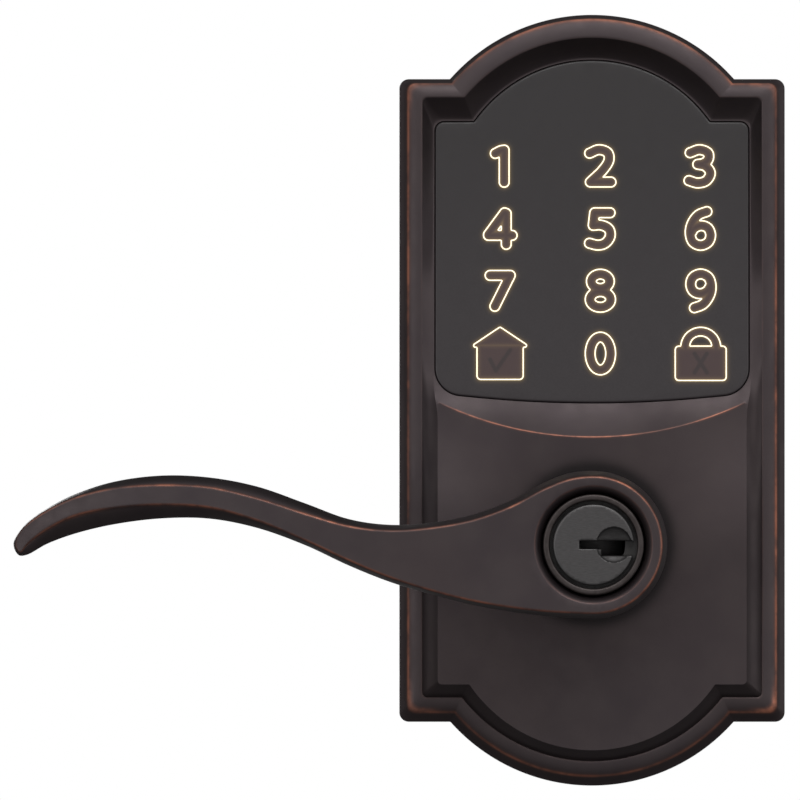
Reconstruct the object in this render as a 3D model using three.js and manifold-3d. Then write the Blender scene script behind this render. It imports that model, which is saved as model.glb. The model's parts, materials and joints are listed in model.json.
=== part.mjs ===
// Outside unit of a keypad lever lock, as an assembly.
// Millimetres. +Z is up, the front faces -Y, and +X is to the right seen from the front.
// The origin is the lever's axis where it crosses the door's face (y = 0).
import * as THREE from "three";
import { mergeVertices } from "three/addons/utils/BufferGeometryUtils.js";
import Module from "manifold-3d";

const wasm = await Module();
wasm.setup();

// ---------------------------------------------------------------- driving dimensions

const GAP = 0.3; // between pieces that rest on each other

// Escutcheon outline: straight sides, shoulders, and an arch at each end.
const HALF_WIDTH = 40.45;
const ARCH_RADIUS = 39.7;
const ARCH_TOP_Z = 71.3; // centre of the upper arch
const ARCH_BOTTOM_Z = -11.1; // centre of the lower arch
const SHOULDER_TOP_Z = 97.5;
const SHOULDER_BOTTOM_Z = -37.4;
const CORNER_RADIUS = 2;
const SHELL_BACK_Y = -1.3;
const RIM_Y = -18; // the rim's front face
const RIM_BEVEL_Y = -15.6; // where the rim's outer bevel starts
const WALL = 3;
const HOLLOW_FRONT_Y = -9.2; // front of the hollow behind the rim
const PANEL_WALL = 10.8; // from the outline in to the deeper hollow under the panel
const ARCH_STEPS = 16;

// Lower panel and the crease across its top.
const PANEL_Y = -22;
const PANEL_FOOT_Y = -16.5;
const PANEL_BOSS_RADIUS = 14.4;
const PANEL_BOSS_Y = -23.4;
const CREASE_RADIUS = 75;
const CREASE_CENTRE_Z = 97.4;
const SCOOP_FOOT_RADIUS = 67.8;
const SCOOP_FOOT_Y = -18.7;

// Touch lens: leans back at its top. Its own frame has y = 0 on its front face.
const LENS_LEAN = THREE.MathUtils.degToRad(4.45);
const LENS_CENTRE_Y = -16.2;
const LENS_CENTRE_Z = 65.5;
const LENS_HALF_WIDTH = 32.9;
const LENS_ARCH_RADIUS = 30.2;
const LENS_SHOULDER_Z = 88.6;
const LENS_BOTTOM_Z = 29.6;
const LENS_THICK = 2;
const LEDGE_DEPTH = 3.1; // from the lens's front face to the ledge that it is glued over
const LEDGE_WIDTH = 2.2;

// Back plate, gasket and boards.
const PLATE_BACK_Y = -2;
const PLATE_THICK = 1.6;
const PLATE_FRONT_Y = PLATE_BACK_Y - PLATE_THICK;
const BOARD_BACK_Y = -4.8;
const BOARD_THICK = 1.6;
const BOARD_FRONT_Y = BOARD_BACK_Y - BOARD_THICK;
const BOARD_HALF_WIDTH = 28;
const BOARD_BOTTOM_Z = 33.5;
const BOARD_TOP_Z = 92;
const SPINDLE_HOLE = 10; // radius of the hole in the back plate
const POST_NECK_HOLE = 2.8;
const GASKET_BACK_Y = 0;
const GASKET_FRONT_Y = -1;
const COVER_BOSS_RADIUS = 2.8;
const COVER_BOSS_Y = -11.6;
const COVER_PILOT = 1.6;
const COVER_SCREW_X = 34;
const COVER_SCREW_ZS = [84, 30, -28];
const BOARD_SCREW_X = 24;
const BOARD_SCREW_ZS = [88, 38];

// Lever, spindle and key cylinder, all round the Y axis.
const LEVER_FRONT_Y = -70;
const LEVER_BACK_Y = -25.4;
const LEVER_TIP_X = -121;
const HUB_RADIUS = 15.4;
const HUB_EDGE_RADIUS = 14.25;
const NECK_RADIUS = 12;
const CYLINDER_SEAT_Y = -44.7;
const CYLINDER_RADIUS = 10.5;
const SPINDLE_RADIUS = 9;
const SPINDLE_BORE = 7;
const SPINDLE_BACK_Y = -8.2;
const PLUG_RADIUS = 6.35;
const PLUG_FACE_RADIUS = 8.42;
const PLUG_FRONT_Y = -69.9;
const PLUG_BACK_Y = -44.6;
const FACE_BACK_Y = -66.8; // back of the collar and of the plug's face
const COLLAR_FRONT_Y = -69.6;
const COLLAR_BORE = 9.16;
const COLLAR_RADIUS = 10.55;
const KEYWAY_X = -2.9;
const KEYWAY_WIDE_X = 1.7; // where the keyway gets wider
const KEYWAY_HALF = 0.83;
const KEYWAY_LOW_Z = -2.25;
const KEYWAY_FLOOR_Y = -46.5;
const RECESS_RADIUS = 3.7;
const RECESS_X = 4.25;
const RECESS_FLOOR_Y = -68.7;
const CATCH_Y = -38;
const CATCH_HOLE = 1.8;

// The bushing that the lever's neck turns in, held in the escutcheon.
const BEARING_BORE = 12.5;
const BUSHING_RADIUS = 12.2;
const BUSHING_FRONT_Y = -24.8;
const BUSHING_FLANGE_RADIUS = 15;
const BUSHING_FLANGE_Y = -18.7;
const BUSHING_BACK_Y = -17;

// Clutch, drive spindle and spring cage.
const CLUTCH_HUB_RADIUS = 13.2;
const CLUTCH_Y = -13.6; // plane of the clutch pin, the slider and the pinion
const CLUTCH_WIDTH = 2.6;
const SHOE_RADIUS = 16;
const PINION_X = 5.4;
const PINION_Z = 22;
const PINION_TEETH = 8;
const GEAR_MODULE = 0.5;
const SLEEVE_RADIUS = 7;
const DRIVE_SQUARE = 7.6;
const DRIVE_END_Y = 50;
const CAGE_RADIUS = 25;
const CAGE_BACK_Y = 13;
const CAGE_WALL = 1.4;
const CAGE_BORE = 8;
const SPRING_RADIUS = 12.4;
const SPRING_WIRE = 0.65; // radius
const SPRING_FRONT_Y = 6.4;
const SPRING_LENGTH = 4.6;
const SPRING_TURNS = 3.5;
const CIRCLIP_Y = 13.5;
const CIRCLIP_THICK = 0.8;
const POST_X = 19.05;
const POST_RADIUS = 4;
const POST_END_Y = 32;
const POST_TAP_DEPTH = 16;
const POST_TAP_RADIUS = 1.9;
const GROMMET_X = -14.5;
const GROMMET_Z = 18.5;
const GROMMET_BORE = 3.1;
const GROMMET_NECK = 3.9;
const GROMMET_FLANGE = 5.2;

// ---------------------------------------------------------------- materials

const finish = (color, roughness, metalness) =>
  new THREE.MeshStandardMaterial({ color, roughness, metalness });

const bronze = finish(0x3c3435, 0.42, 0.6);
const smokedPlastic = finish(0x2c2828, 0.18, 0);
const blackNickel = finish(0x474646, 0.36, 0.8);
const steel = finish(0x9da0a3, 0.38, 1);
const springSteel = finish(0x5d5f62, 0.35, 1);
const brass = finish(0xb08d4a, 0.35, 1);
const blackPlastic = finish(0x1a1a1b, 0.6, 0);
const foam = finish(0x232324, 0.95, 0);
const clearPlastic = finish(0xe8e4da, 0.25, 0);
const boardGreen = finish(0x1d4a33, 0.5, 0);
const acetal = finish(0xd9d7d0, 0.5, 0);

// ---------------------------------------------------------------- geometry helpers

// A closed geometry as a solid for joining and cutting.
function solidOf(geometry) {
  const bare = geometry.clone();
  bare.deleteAttribute("normal");
  bare.deleteAttribute("uv");
  const merged = mergeVertices(bare, 1e-4);
  return new wasm.Manifold(
    new wasm.Mesh({
      numProp: 3,
      vertProperties: merged.attributes.position.array,
      triVerts: new Uint32Array(merged.index.array),
    }),
  );
}

// The geometry of a finished solid.
function geometryOf(solid) {
  const { vertProperties, triVerts } = solid.getMesh();
  const geometry = new THREE.BufferGeometry();
  geometry.setAttribute("position", new THREE.BufferAttribute(vertProperties, 3));
  geometry.setIndex(new THREE.BufferAttribute(triVerts, 1));
  return geometry;
}

const join = (first, ...others) => others.reduce((sum, solid) => sum.add(solid), first);
const cut = (first, ...others) => others.reduce((rest, solid) => rest.subtract(solid), first);

// A box between two corners.
function block([x0, y0, z0], [x1, y1, z1]) {
  const box = new THREE.BoxGeometry(x1 - x0, y1 - y0, z1 - z0);
  return solidOf(box.translate((x0 + x1) / 2, (y0 + y1) / 2, (z0 + z1) / 2));
}

// A profile of [radius, y] points turned round the Y axis, then moved to x, z.
function turned(profile, { x = 0, z = 0, sides = 32 } = {}) {
  const points = profile.map(([radius, y]) => new THREE.Vector2(radius, y));
  return solidOf(new THREE.LatheGeometry(points, sides).translate(x, 0, z));
}

// A plain round bar from y0 to y1 (y0 < y1).
function rod(radius, y0, y1, place) {
  return turned([[0, y0], [radius, y0], [radius, y1], [0, y1]], place);
}

// A ring of rectangular section from y0 to y1.
function ring(inner, outer, y0, y1, place) {
  return turned([[inner, y0], [outer, y0], [outer, y1], [inner, y1], [inner, y0]], place);
}

// A round bar along X or Z, from one distance to the other, at height y.
function crossRod(radius, along, from, to, { y, offset = 0, sides = 24 }) {
  const bar = new THREE.CylinderGeometry(radius, radius, to - from, sides);
  bar.translate(0, (from + to) / 2, 0);
  if (along === "x") return solidOf(bar.rotateZ(-Math.PI / 2).translate(0, y, offset));
  return solidOf(bar.rotateX(Math.PI / 2).translate(offset, y, 0));
}

// A flat shape drawn in x, z with thickness from yFront back to yBack.
function slab(shape, yFront, yBack) {
  const options = { depth: yBack - yFront, bevelEnabled: false };
  const geometry = new THREE.ExtrudeGeometry(shape, options);
  return solidOf(geometry.rotateX(Math.PI / 2).translate(0, yBack, 0));
}

// A closed skin through rings of equally many points. capAxes names the two coordinates in which
// the end caps are flat enough to fill.
function loft(rings, capAxes) {
  const count = rings[0].length;
  const positions = rings.flat().flatMap((point) => [point.x, point.y, point.z]);
  const index = [];
  for (let r = 0; r + 1 < rings.length; r++) {
    for (let i = 0; i < count; i++) {
      const a = r * count + i;
      const b = r * count + ((i + 1) % count);
      index.push(a, b, b + count, a, b + count, a + count);
    }
  }
  const flat = (points) => points.map((p) => new THREE.Vector2(p[capAxes[0]], p[capAxes[1]]));
  const last = (rings.length - 1) * count;
  for (const [a, b, c] of THREE.ShapeUtils.triangulateShape(flat(rings[0]), [])) {
    index.push(a, c, b);
  }
  for (const [a, b, c] of THREE.ShapeUtils.triangulateShape(flat(rings.at(-1)), [])) {
    index.push(last + a, last + b, last + c);
  }
  const geometry = new THREE.BufferGeometry();
  geometry.setAttribute("position", new THREE.Float32BufferAttribute(positions, 3));
  geometry.setIndex(index);
  if (signedVolume(geometry) < 0) geometry.index.array.reverse();
  return solidOf(geometry);
}

function signedVolume(geometry) {
  const position = geometry.getAttribute("position");
  const corner = (i) => new THREE.Vector3().fromBufferAttribute(position, geometry.index.getX(i));
  let volume = 0;
  for (let i = 0; i < geometry.index.count; i += 3) {
    volume += corner(i).dot(corner(i + 1).cross(corner(i + 2))) / 6;
  }
  return volume;
}

// A smooth curve z(x) through [x, z] points in rising x.
function curveThrough(points) {
  const slopes = points.map((point, i) => {
    const before = points[Math.max(i - 1, 0)];
    const after = points[Math.min(i + 1, points.length - 1)];
    return (after[1] - before[1]) / (after[0] - before[0]);
  });
  return (x) => {
    let i = points.findIndex(([end]) => end >= x) - 1;
    i = Math.min(Math.max(i, 0), points.length - 2);
    const [x0, z0] = points[i];
    const [x1, z1] = points[i + 1];
    const width = x1 - x0;
    const t = THREE.MathUtils.clamp((x - x0) / width, 0, 1);
    const rise = 3 * t * t - 2 * t * t * t;
    const start = t * (1 - t) * (1 - t) * width * slopes[i];
    const end = t * t * (1 - t) * width * slopes[i + 1];
    return z0 + rise * (z1 - z0) + start - end;
  };
}

// ---------------------------------------------------------------- outlines

// Points of an arc round x = cx, z = cz.
function arcPoints(cx, cz, radius, from, to, steps) {
  return Array.from({ length: steps + 1 }, (_, i) => {
    const angle = from + ((to - from) * i) / steps;
    return new THREE.Vector2(cx + radius * Math.cos(angle), cz + radius * Math.sin(angle));
  });
}

// The escutcheon's outline, drawn in by its own amount at the sides, shoulders and arches.
function plateOutline({ side, archTop, shoulderTop, archBottom, shoulderBottom, corner }) {
  const halfWidth = HALF_WIDTH - side;
  const top = ARCH_RADIUS - archTop;
  const bottom = ARCH_RADIUS - archBottom;
  const topZ = SHOULDER_TOP_Z - shoulderTop;
  const bottomZ = SHOULDER_BOTTOM_Z + shoulderBottom;
  const topAngle = Math.asin((topZ - ARCH_TOP_Z) / top);
  const bottomAngle = Math.asin((ARCH_BOTTOM_Z - bottomZ) / bottom);
  const x = halfWidth - corner;
  const right = Math.PI * 2;
  return [
    ...arcPoints(0, ARCH_TOP_Z, top, topAngle, Math.PI - topAngle, ARCH_STEPS),
    ...arcPoints(-x, topZ - corner, corner, Math.PI / 2, Math.PI, 2),
    ...arcPoints(-x, bottomZ + corner, corner, Math.PI, Math.PI * 1.5, 2),
    ...arcPoints(0, ARCH_BOTTOM_Z, bottom, Math.PI + bottomAngle, right - bottomAngle, ARCH_STEPS),
    ...arcPoints(x, bottomZ + corner, corner, Math.PI * 1.5, right, 2),
    ...arcPoints(x, topZ - corner, corner, 0, Math.PI / 2, 2),
  ];
}

const evenly = (inset, corner = CORNER_RADIUS) => ({
  side: inset,
  archTop: inset,
  shoulderTop: inset,
  archBottom: inset,
  shoulderBottom: inset,
  corner,
});

// Arched top, straight sides and a flat bottom: the recess round the lens.
function recessOutline(halfWidth, archRadius, shoulderZ, bottomZ, corner) {
  const angle = Math.asin((shoulderZ - ARCH_TOP_Z) / archRadius);
  const x = halfWidth - corner;
  return [
    ...arcPoints(0, ARCH_TOP_Z, archRadius, angle, Math.PI - angle, ARCH_STEPS),
    ...arcPoints(-x, shoulderZ - corner, corner, Math.PI / 2, Math.PI, 2),
    new THREE.Vector2(-halfWidth, bottomZ),
    new THREE.Vector2(halfWidth, bottomZ),
    ...arcPoints(x, shoulderZ - corner, corner, 0, Math.PI / 2, 2),
  ];
}

// The lens in its own frame, drawn in by an inset: arched top, rounded lower corners, and a
// bottom edge that bows down a little.
function lensOutline(inset) {
  const halfWidth = LENS_HALF_WIDTH - inset;
  const radius = LENS_ARCH_RADIUS - inset;
  const archZ = ARCH_TOP_Z - LENS_CENTRE_Z;
  const shoulderZ = LENS_SHOULDER_Z - LENS_CENTRE_Z - inset;
  const bottomZ = LENS_BOTTOM_Z - LENS_CENTRE_Z + inset;
  const angle = Math.asin((shoulderZ - archZ) / radius);
  const upper = 1.9 - Math.min(inset, 1);
  const lower = 5.7 - inset;
  const bow = 1.5;
  const bowAngle = 0.11;
  return [
    ...arcPoints(0, archZ, radius, angle, Math.PI - angle, ARCH_STEPS),
    ...arcPoints(upper - halfWidth, shoulderZ - upper, upper, Math.PI / 2, Math.PI, 2),
    ...arcPoints(lower - halfWidth, bottomZ + bow + lower, lower, Math.PI, Math.PI * 1.5 - bowAngle, 4),
    new THREE.Vector2(0, bottomZ),
    ...arcPoints(halfWidth - lower, bottomZ + bow + lower, lower, -Math.PI / 2 + bowAngle, 0, 4),
    ...arcPoints(halfWidth - upper, shoulderZ - upper, upper, 0, Math.PI / 2, 2),
  ];
}

const shapeOf = (points, ...holes) => {
  const shape = new THREE.Shape(points);
  shape.holes = holes.map((hole) => new THREE.Path(hole));
  return shape;
};

// A slab in the lens's own frame, leaned back and put in place.
function leanedSlab(shape, front, back) {
  const options = { depth: back - front, bevelEnabled: false };
  const geometry = new THREE.ExtrudeGeometry(shape, options);
  geometry.rotateX(Math.PI / 2).translate(0, back, 0);
  return solidOf(geometry.rotateX(-LENS_LEAN).translate(0, LENS_CENTRE_Y, LENS_CENTRE_Z));
}

const lensFrontY = (z) => LENS_CENTRE_Y + (z - LENS_CENTRE_Z) * Math.tan(LENS_LEAN);
const atY = (points, y) =>
  points.map((p) => new THREE.Vector3(p.x, typeof y === "function" ? y(p.y) : y, p.y));

// ---------------------------------------------------------------- escutcheon

const RIM_INNER = {
  side: 4.85,
  archTop: 4.85,
  shoulderTop: 3.9,
  archBottom: 5.2,
  shoulderBottom: 5.2,
  corner: 2.5,
};
const PANEL_EDGE = { ...RIM_INNER, side: 8, archBottom: 7.5, shoulderBottom: 7.5 };

function rimBody() {
  const bevelled = { ...evenly(1.75), archTop: 0.8, shoulderTop: 0.9, archBottom: 1.95 };
  const rings = [
    atY(plateOutline(evenly(0)), SHELL_BACK_Y),
    atY(plateOutline(evenly(0)), RIM_BEVEL_Y),
    atY(plateOutline(bevelled), RIM_Y),
  ];
  return loft(rings, "xz");
}

// The sloping cove from the rim down to the lens.
function lensRecess() {
  const shallow = RIM_Y + 0.1;
  const front = recessOutline(35.6, 34.85, 93.6, 26, 2.5);
  const back = recessOutline(LENS_HALF_WIDTH, LENS_ARCH_RADIUS, LENS_SHOULDER_Z, 26, 1.9);
  const rings = [
    atY(front, RIM_Y - GAP),
    atY(back, (z) => Math.max(lensFrontY(z), shallow)),
  ];
  return loft(rings, "xz");
}

// The raised lower panel, before the scoop under the lens is cut.
function lowerPanel() {
  const whole = loft(
    [atY(plateOutline(RIM_INNER), PANEL_FOOT_Y), atY(plateOutline(PANEL_EDGE), PANEL_Y)],
    "xz",
  );
  const above = block([-50, -40, 52], [50, 0, 130]);
  return cut(whole, above);
}

// Everything that stands in front of the scoop and of the lens's plane.
function scoopCutter() {
  const rise = (CREASE_RADIUS - SCOOP_FOOT_RADIUS) / (SCOOP_FOOT_Y - PANEL_Y);
  const depth = 6;
  const cone = turned(
    [
      [0, PANEL_Y - depth],
      [CREASE_RADIUS + rise * depth, PANEL_Y - depth],
      [SCOOP_FOOT_RADIUS, SCOOP_FOOT_Y],
      [0, SCOOP_FOOT_Y],
    ],
    { z: CREASE_CENTRE_Z, sides: 90 },
  );
  const [low, high] = [LENS_BOTTOM_Z - LENS_CENTRE_Z, 60];
  const wide = [[-36, low], [36, low], [36, high], [-36, high]];
  const corners = wide.map(([x, z]) => new THREE.Vector2(x, z));
  return join(cone, leanedSlab(shapeOf(corners), -12, 0));
}

// The hollow behind the rim, the lens and the lower panel.
function shellHollow() {
  const main = slab(shapeOf(plateOutline(evenly(WALL, 1))), HOLLOW_FRONT_Y, 0);
  const behindLens = leanedSlab(shapeOf(lensOutline(-2)), LEDGE_DEPTH + 1.3, 12);
  const underPanel = slab(shapeOf(plateOutline(evenly(PANEL_WALL, 1))), -19, -9);
  const belowSpindle = block([-HALF_WIDTH, -20, -60], [HALF_WIDTH, 0, 16]);
  const aroundActuator = block([-22, -16.4, 10], [22, -9, 30]);
  return join(main, behindLens, underPanel.intersect(belowSpindle), aroundActuator);
}

function escutcheon() {
  const body = join(cut(rimBody(), lensRecess()), lowerPanel());
  const boss = rod(PANEL_BOSS_RADIUS, PANEL_BOSS_Y, PANEL_Y + 1);
  const front = join(cut(body, scoopCutter()), boss);
  const pocket = leanedSlab(shapeOf(lensOutline(-0.2)), -8, LEDGE_DEPTH);
  const window = leanedSlab(shapeOf(lensOutline(LEDGE_WIDTH)), 0, 8);
  const bearing = rod(BEARING_BORE, PANEL_BOSS_Y - 1, HOLLOW_FRONT_Y - 1);
  const shell = cut(front, pocket, window, shellHollow(), bearing);
  const bosses = [];
  const holes = [];
  for (const x of [-COVER_SCREW_X, COVER_SCREW_X]) {
    for (const z of COVER_SCREW_ZS) {
      bosses.push(rod(COVER_BOSS_RADIUS, COVER_BOSS_Y, PLATE_FRONT_Y - GAP, { x, z, sides: 10 }));
      holes.push(rod(COVER_PILOT, COVER_BOSS_Y + 1.1, 0, { x, z, sides: 8 }));
    }
  }
  return cut(join(shell, ...bosses), ...holes);
}

// ---------------------------------------------------------------- keypad

const keypadLens = () => leanedSlab(shapeOf(lensOutline(0)), 0, LENS_THICK);

const lensGasket = () =>
  leanedSlab(shapeOf(lensOutline(0.3), lensOutline(1.9)), LENS_THICK + GAP, LEDGE_DEPTH - GAP);

const lightGuide = () => leanedSlab(shapeOf(lensOutline(LEDGE_WIDTH + 0.4)), 2.3, 4.1);

const touchBoard = () => leanedSlab(shapeOf(lensOutline(LEDGE_WIDTH + 0.8)), 4.4, 5.4);

// ---------------------------------------------------------------- back plate and boards

function backPlate() {
  const sheet = slab(shapeOf(plateOutline(evenly(WALL + GAP, 1))), PLATE_FRONT_Y, PLATE_BACK_Y);
  const through = (radius, x, z, sides = 16) => rod(radius, -5, 0, { x, z, sides });
  const holes = [through(SPINDLE_HOLE, 0, 0, 28), through(GROMMET_NECK + GAP, GROMMET_X, GROMMET_Z)];
  for (const side of [-1, 1]) {
    holes.push(through(POST_NECK_HOLE, side * POST_X, 0));
    for (const z of COVER_SCREW_ZS) holes.push(through(COVER_PILOT, side * COVER_SCREW_X, z, 8));
    for (const z of BOARD_SCREW_ZS) holes.push(through(1.35, side * BOARD_SCREW_X, z, 8));
  }
  return cut(sheet, ...holes);
}

const backGasket = () =>
  slab(
    shapeOf(plateOutline(evenly(0.8)), plateOutline(evenly(WALL, 1))),
    GASKET_FRONT_Y,
    GASKET_BACK_Y,
  );

// A pan-head screw along Y, its head at the back.
function screwFromBack(x, z, headRadius, radius, headY, shankY) {
  return turned(
    [[0, shankY], [radius, shankY], [radius, headY], [headRadius, headY], [headRadius, headY + 0.9],
      [headRadius * 0.7, headY + 1.3], [0, headY + 1.3]],
    { x, z, sides: 8 },
  );
}

const coverScrew = (x, z) => screwFromBack(x, z, 2.5, 1.2, PLATE_BACK_Y + GAP, -10);

// A board screw has its head at the front and ends in the back plate.
function boardScrew(x, z) {
  const headY = BOARD_FRONT_Y - GAP;
  return turned(
    [[0, headY - 1.2], [1.4, headY - 1.2], [2, headY - 0.8], [2, headY], [1, headY], [1, PLATE_BACK_Y],
      [0, PLATE_BACK_Y]],
    { x, z, sides: 8 },
  );
}

function mainBoard() {
  const board = block(
    [-BOARD_HALF_WIDTH, BOARD_FRONT_Y, BOARD_BOTTOM_Z],
    [BOARD_HALF_WIDTH, BOARD_BACK_Y, BOARD_TOP_Z],
  );
  const holes = [];
  for (const x of [-BOARD_SCREW_X, BOARD_SCREW_X]) {
    for (const z of BOARD_SCREW_ZS) holes.push(rod(1.4, -8, -3, { x, z, sides: 8 }));
  }
  return cut(board, ...holes);
}

// What stands on the front of the main board.
const onBoard = (x0, x1, z0, z1, height) =>
  block([x0, BOARD_FRONT_Y - GAP - height, z0], [x1, BOARD_FRONT_Y - GAP, z1]);

const processorShield = () => onBoard(-16, 4, 50, 66, 1.8);
const radioModule = () => onBoard(8, 22, 52, 64, 1.5);
const boardConnector = () => onBoard(-8, 4, 35, 40, 3);

function buzzer() {
  const y = BOARD_FRONT_Y - GAP;
  const place = { x: 15, z: 42, sides: 20 };
  return turned([[0, y - 2.2], [1, y - 2.2], [1, y - 2.8], [6, y - 2.8], [6, y], [0, y]], place);
}

function cableGrommet() {
  const front = PLATE_FRONT_Y - GAP;
  const back = PLATE_BACK_Y + GAP;
  return turned(
    [[GROMMET_BORE, front - 0.9], [GROMMET_FLANGE, front - 0.9], [GROMMET_FLANGE, front],
      [GROMMET_NECK, front], [GROMMET_NECK, back], [GROMMET_FLANGE, back],
      [GROMMET_FLANGE, back + 1], [GROMMET_BORE, back + 1], [GROMMET_BORE, front - 0.9]],
    { x: GROMMET_X, z: GROMMET_Z, sides: 16 },
  );
}

// ---------------------------------------------------------------- bearing, cage and posts

function leverBushing() {
  const bore = SPINDLE_RADIUS + GAP;
  return turned([
    [bore, BUSHING_FRONT_Y], [BUSHING_RADIUS, BUSHING_FRONT_Y], [BUSHING_RADIUS, BUSHING_FLANGE_Y],
    [BUSHING_FLANGE_RADIUS, BUSHING_FLANGE_Y], [BUSHING_FLANGE_RADIUS, BUSHING_BACK_Y],
    [bore, BUSHING_BACK_Y], [bore, BUSHING_FRONT_Y],
  ]);
}

function springCage() {
  const front = PLATE_BACK_Y + GAP;
  const floor = CAGE_BACK_Y - 1.2;
  const cup = turned(
    [[CAGE_BORE, floor], [CAGE_RADIUS - CAGE_WALL, floor], [CAGE_RADIUS - CAGE_WALL, front],
      [CAGE_RADIUS, front], [CAGE_RADIUS, CAGE_BACK_Y], [CAGE_BORE, CAGE_BACK_Y], [CAGE_BORE, floor]],
    { sides: 40 },
  );
  const outlet = rod(GROMMET_FLANGE + 0.4, -3, 20, { x: GROMMET_X, z: GROMMET_Z, sides: 20 });
  const posts = [-POST_X, POST_X].map((x) => rod(POST_RADIUS + GAP + 0.1, 5, 20, { x, sides: 16 }));
  return cut(cup, outlet, ...posts);
}

// A torsion spring: close coils round the drive sleeve, its two legs standing out.
class CoilPath extends THREE.Curve {
  getPoint(t) {
    const angle = t * SPRING_TURNS * 2 * Math.PI;
    const y = SPRING_FRONT_Y + SPRING_LENGTH * t;
    return new THREE.Vector3(SPRING_RADIUS * Math.cos(angle), y, SPRING_RADIUS * Math.sin(angle));
  }
}

function returnSpring() {
  const wire = new THREE.Shape(arcPoints(0, 0, SPRING_WIRE, 0, 2 * Math.PI, 5).slice(0, -1));
  const options = { steps: 42, bevelEnabled: false, extrudePath: new CoilPath() };
  return solidOf(new THREE.ExtrudeGeometry(wire, options));
}

// A post is riveted through the back plate and tapped from its free end.
function mountingPost(x) {
  const back = PLATE_BACK_Y + GAP;
  const front = PLATE_FRONT_Y - GAP;
  const drilled = POST_END_Y - POST_TAP_DEPTH;
  return turned(
    [[0, front - 1], [3.6, front - 1], [3.6, front], [2.5, front], [2.5, back], [POST_RADIUS, back],
      [POST_RADIUS, POST_END_Y], [POST_TAP_RADIUS, POST_END_Y], [POST_TAP_RADIUS, drilled], [0, drilled]],
    { x, sides: 16 },
  );
}

// ---------------------------------------------------------------- lever

// Edges of the lever seen from the front, from the tip to the hub: [x, z].
const UPPER_EDGE = curveThrough([
  [LEVER_TIP_X, 0.6], [-119.4, 3.3], [-114, 7.5], [-103.4, 12.1], [-88.5, 14.4], [-74, 13.1],
  [-61.4, 9.2], [-50, 5.2], [-41, 4.1], [-32.5, 4.7], [-24.3, 6.5], [-16.3, 9.7], [-9, 13.3],
  [0, HUB_RADIUS],
]);
const LOWER_EDGE = curveThrough([
  [LEVER_TIP_X, -0.9], [-119.4, -2.4], [-117, -1.6], [-111.9, 1], [-99.2, 4.4], [-86.6, 5.55],
  [-74, 4.5], [-61.4, 0.5], [-48.7, -5.2], [-32.5, -10.5], [-16, -14], [0, -HUB_RADIUS],
]);
// Ridges at the edges of the flat front band.
const UPPER_RIDGE = curveThrough([
  [LEVER_TIP_X, -0.1], [-116.9, 5.2], [-107.7, 9.9], [-90.8, 12.5], [-74, 10.8], [-57.2, 5.5],
  [-43, 3], [-35.5, 3.6], [-26.6, 5.1], [-17.6, 8.1], [-10.4, 11.6], [0, HUB_EDGE_RADIUS],
]);
const LOWER_RIDGE = curveThrough([
  [LEVER_TIP_X, -0.5], [-116.9, 1.1], [-107.7, 6.1], [-90.8, 8.2], [-74, 6.4], [-57.2, -0.4],
  [-41.2, -7.1], [-26.6, -11.5], [-17.6, -13], [0, -HUB_EDGE_RADIUS],
]);

// How far the lever has swept back towards the door at x, and how thick it is there.
function leverDepth(x) {
  const along = THREE.MathUtils.clamp((-x - 16) / (-LEVER_TIP_X - 16), 0, 1);
  return { front: LEVER_FRONT_Y + 12 * along * along, thick: 15 - 6.5 * along ** 0.6 };
}

function leverSection(x, closing) {
  const { front, thick } = leverDepth(x);
  const top = UPPER_EDGE(x);
  const bottom = LOWER_EDGE(x);
  const middle = (top + bottom) / 2;
  const shoulder = front + thick * 0.36 * closing;
  const waist = front + thick * 0.68 * closing;
  const back = front + thick * closing;
  const narrow = (z, share) => middle + (z - middle) * share;
  const points = [
    [front, UPPER_RIDGE(x)], [front, LOWER_RIDGE(x)], [shoulder, bottom], [waist, narrow(bottom, 0.88)],
    [back, narrow(bottom, 0.5)], [back, narrow(top, 0.5)], [waist, narrow(top, 0.88)], [shoulder, top],
  ];
  return points.map(([y, z]) => new THREE.Vector3(x, y, z));
}

function leverArm() {
  const rings = [];
  const tipSteps = [0.15, 0.8, 1.8, 3.2, 5.2];
  for (const step of tipSteps) {
    rings.push(leverSection(LEVER_TIP_X + step, Math.min(1, 0.35 + step * 0.16)));
  }
  for (let x = LEVER_TIP_X + 8; x < -8; x += 5.5) rings.push(leverSection(x, 1));
  rings.push(leverSection(-6, 1));
  return loft(rings, "yz");
}

function leverHandle() {
  const hub = turned(
    [[0, LEVER_FRONT_Y], [HUB_EDGE_RADIUS, LEVER_FRONT_Y], [HUB_RADIUS, LEVER_FRONT_Y + 5],
      [HUB_RADIUS, -56], [14, -51], [NECK_RADIUS, -46], [NECK_RADIUS, LEVER_BACK_Y], [0, LEVER_BACK_Y]],
    { sides: 40 },
  );
  const cylinderBore = turned([
    [0, -80], [12.3, -80], [12.3, LEVER_FRONT_Y], [CYLINDER_RADIUS + 0.35, LEVER_FRONT_Y + 2.4],
    [CYLINDER_RADIUS + 0.35, CYLINDER_SEAT_Y], [0, CYLINDER_SEAT_Y],
  ]);
  const spindleBore = rod(SPINDLE_RADIUS + GAP, CYLINDER_SEAT_Y - 1, LEVER_BACK_Y + 1);
  const catchHole = crossRod(CATCH_HOLE, "z", -20, -6, { y: CATCH_Y, sides: 10 });
  return cut(join(leverArm(), hub), cylinderBore, spindleBore, catchHole);
}

function leverSpindle() {
  const tube = ring(SPINDLE_BORE, SPINDLE_RADIUS, -43.5, SPINDLE_BACK_Y);
  const clutchHole = crossRod(1.8, "z", 4, 12, { y: CLUTCH_Y, sides: 12 });
  const catchHole = crossRod(CATCH_HOLE, "z", -12, -4, { y: CATCH_Y, sides: 10 });
  return cut(tube, clutchHole, catchHole);
}

const catchPin = () => crossRod(CATCH_HOLE - GAP, "z", -11.3, -6.4, { y: CATCH_Y, sides: 10 });

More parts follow.
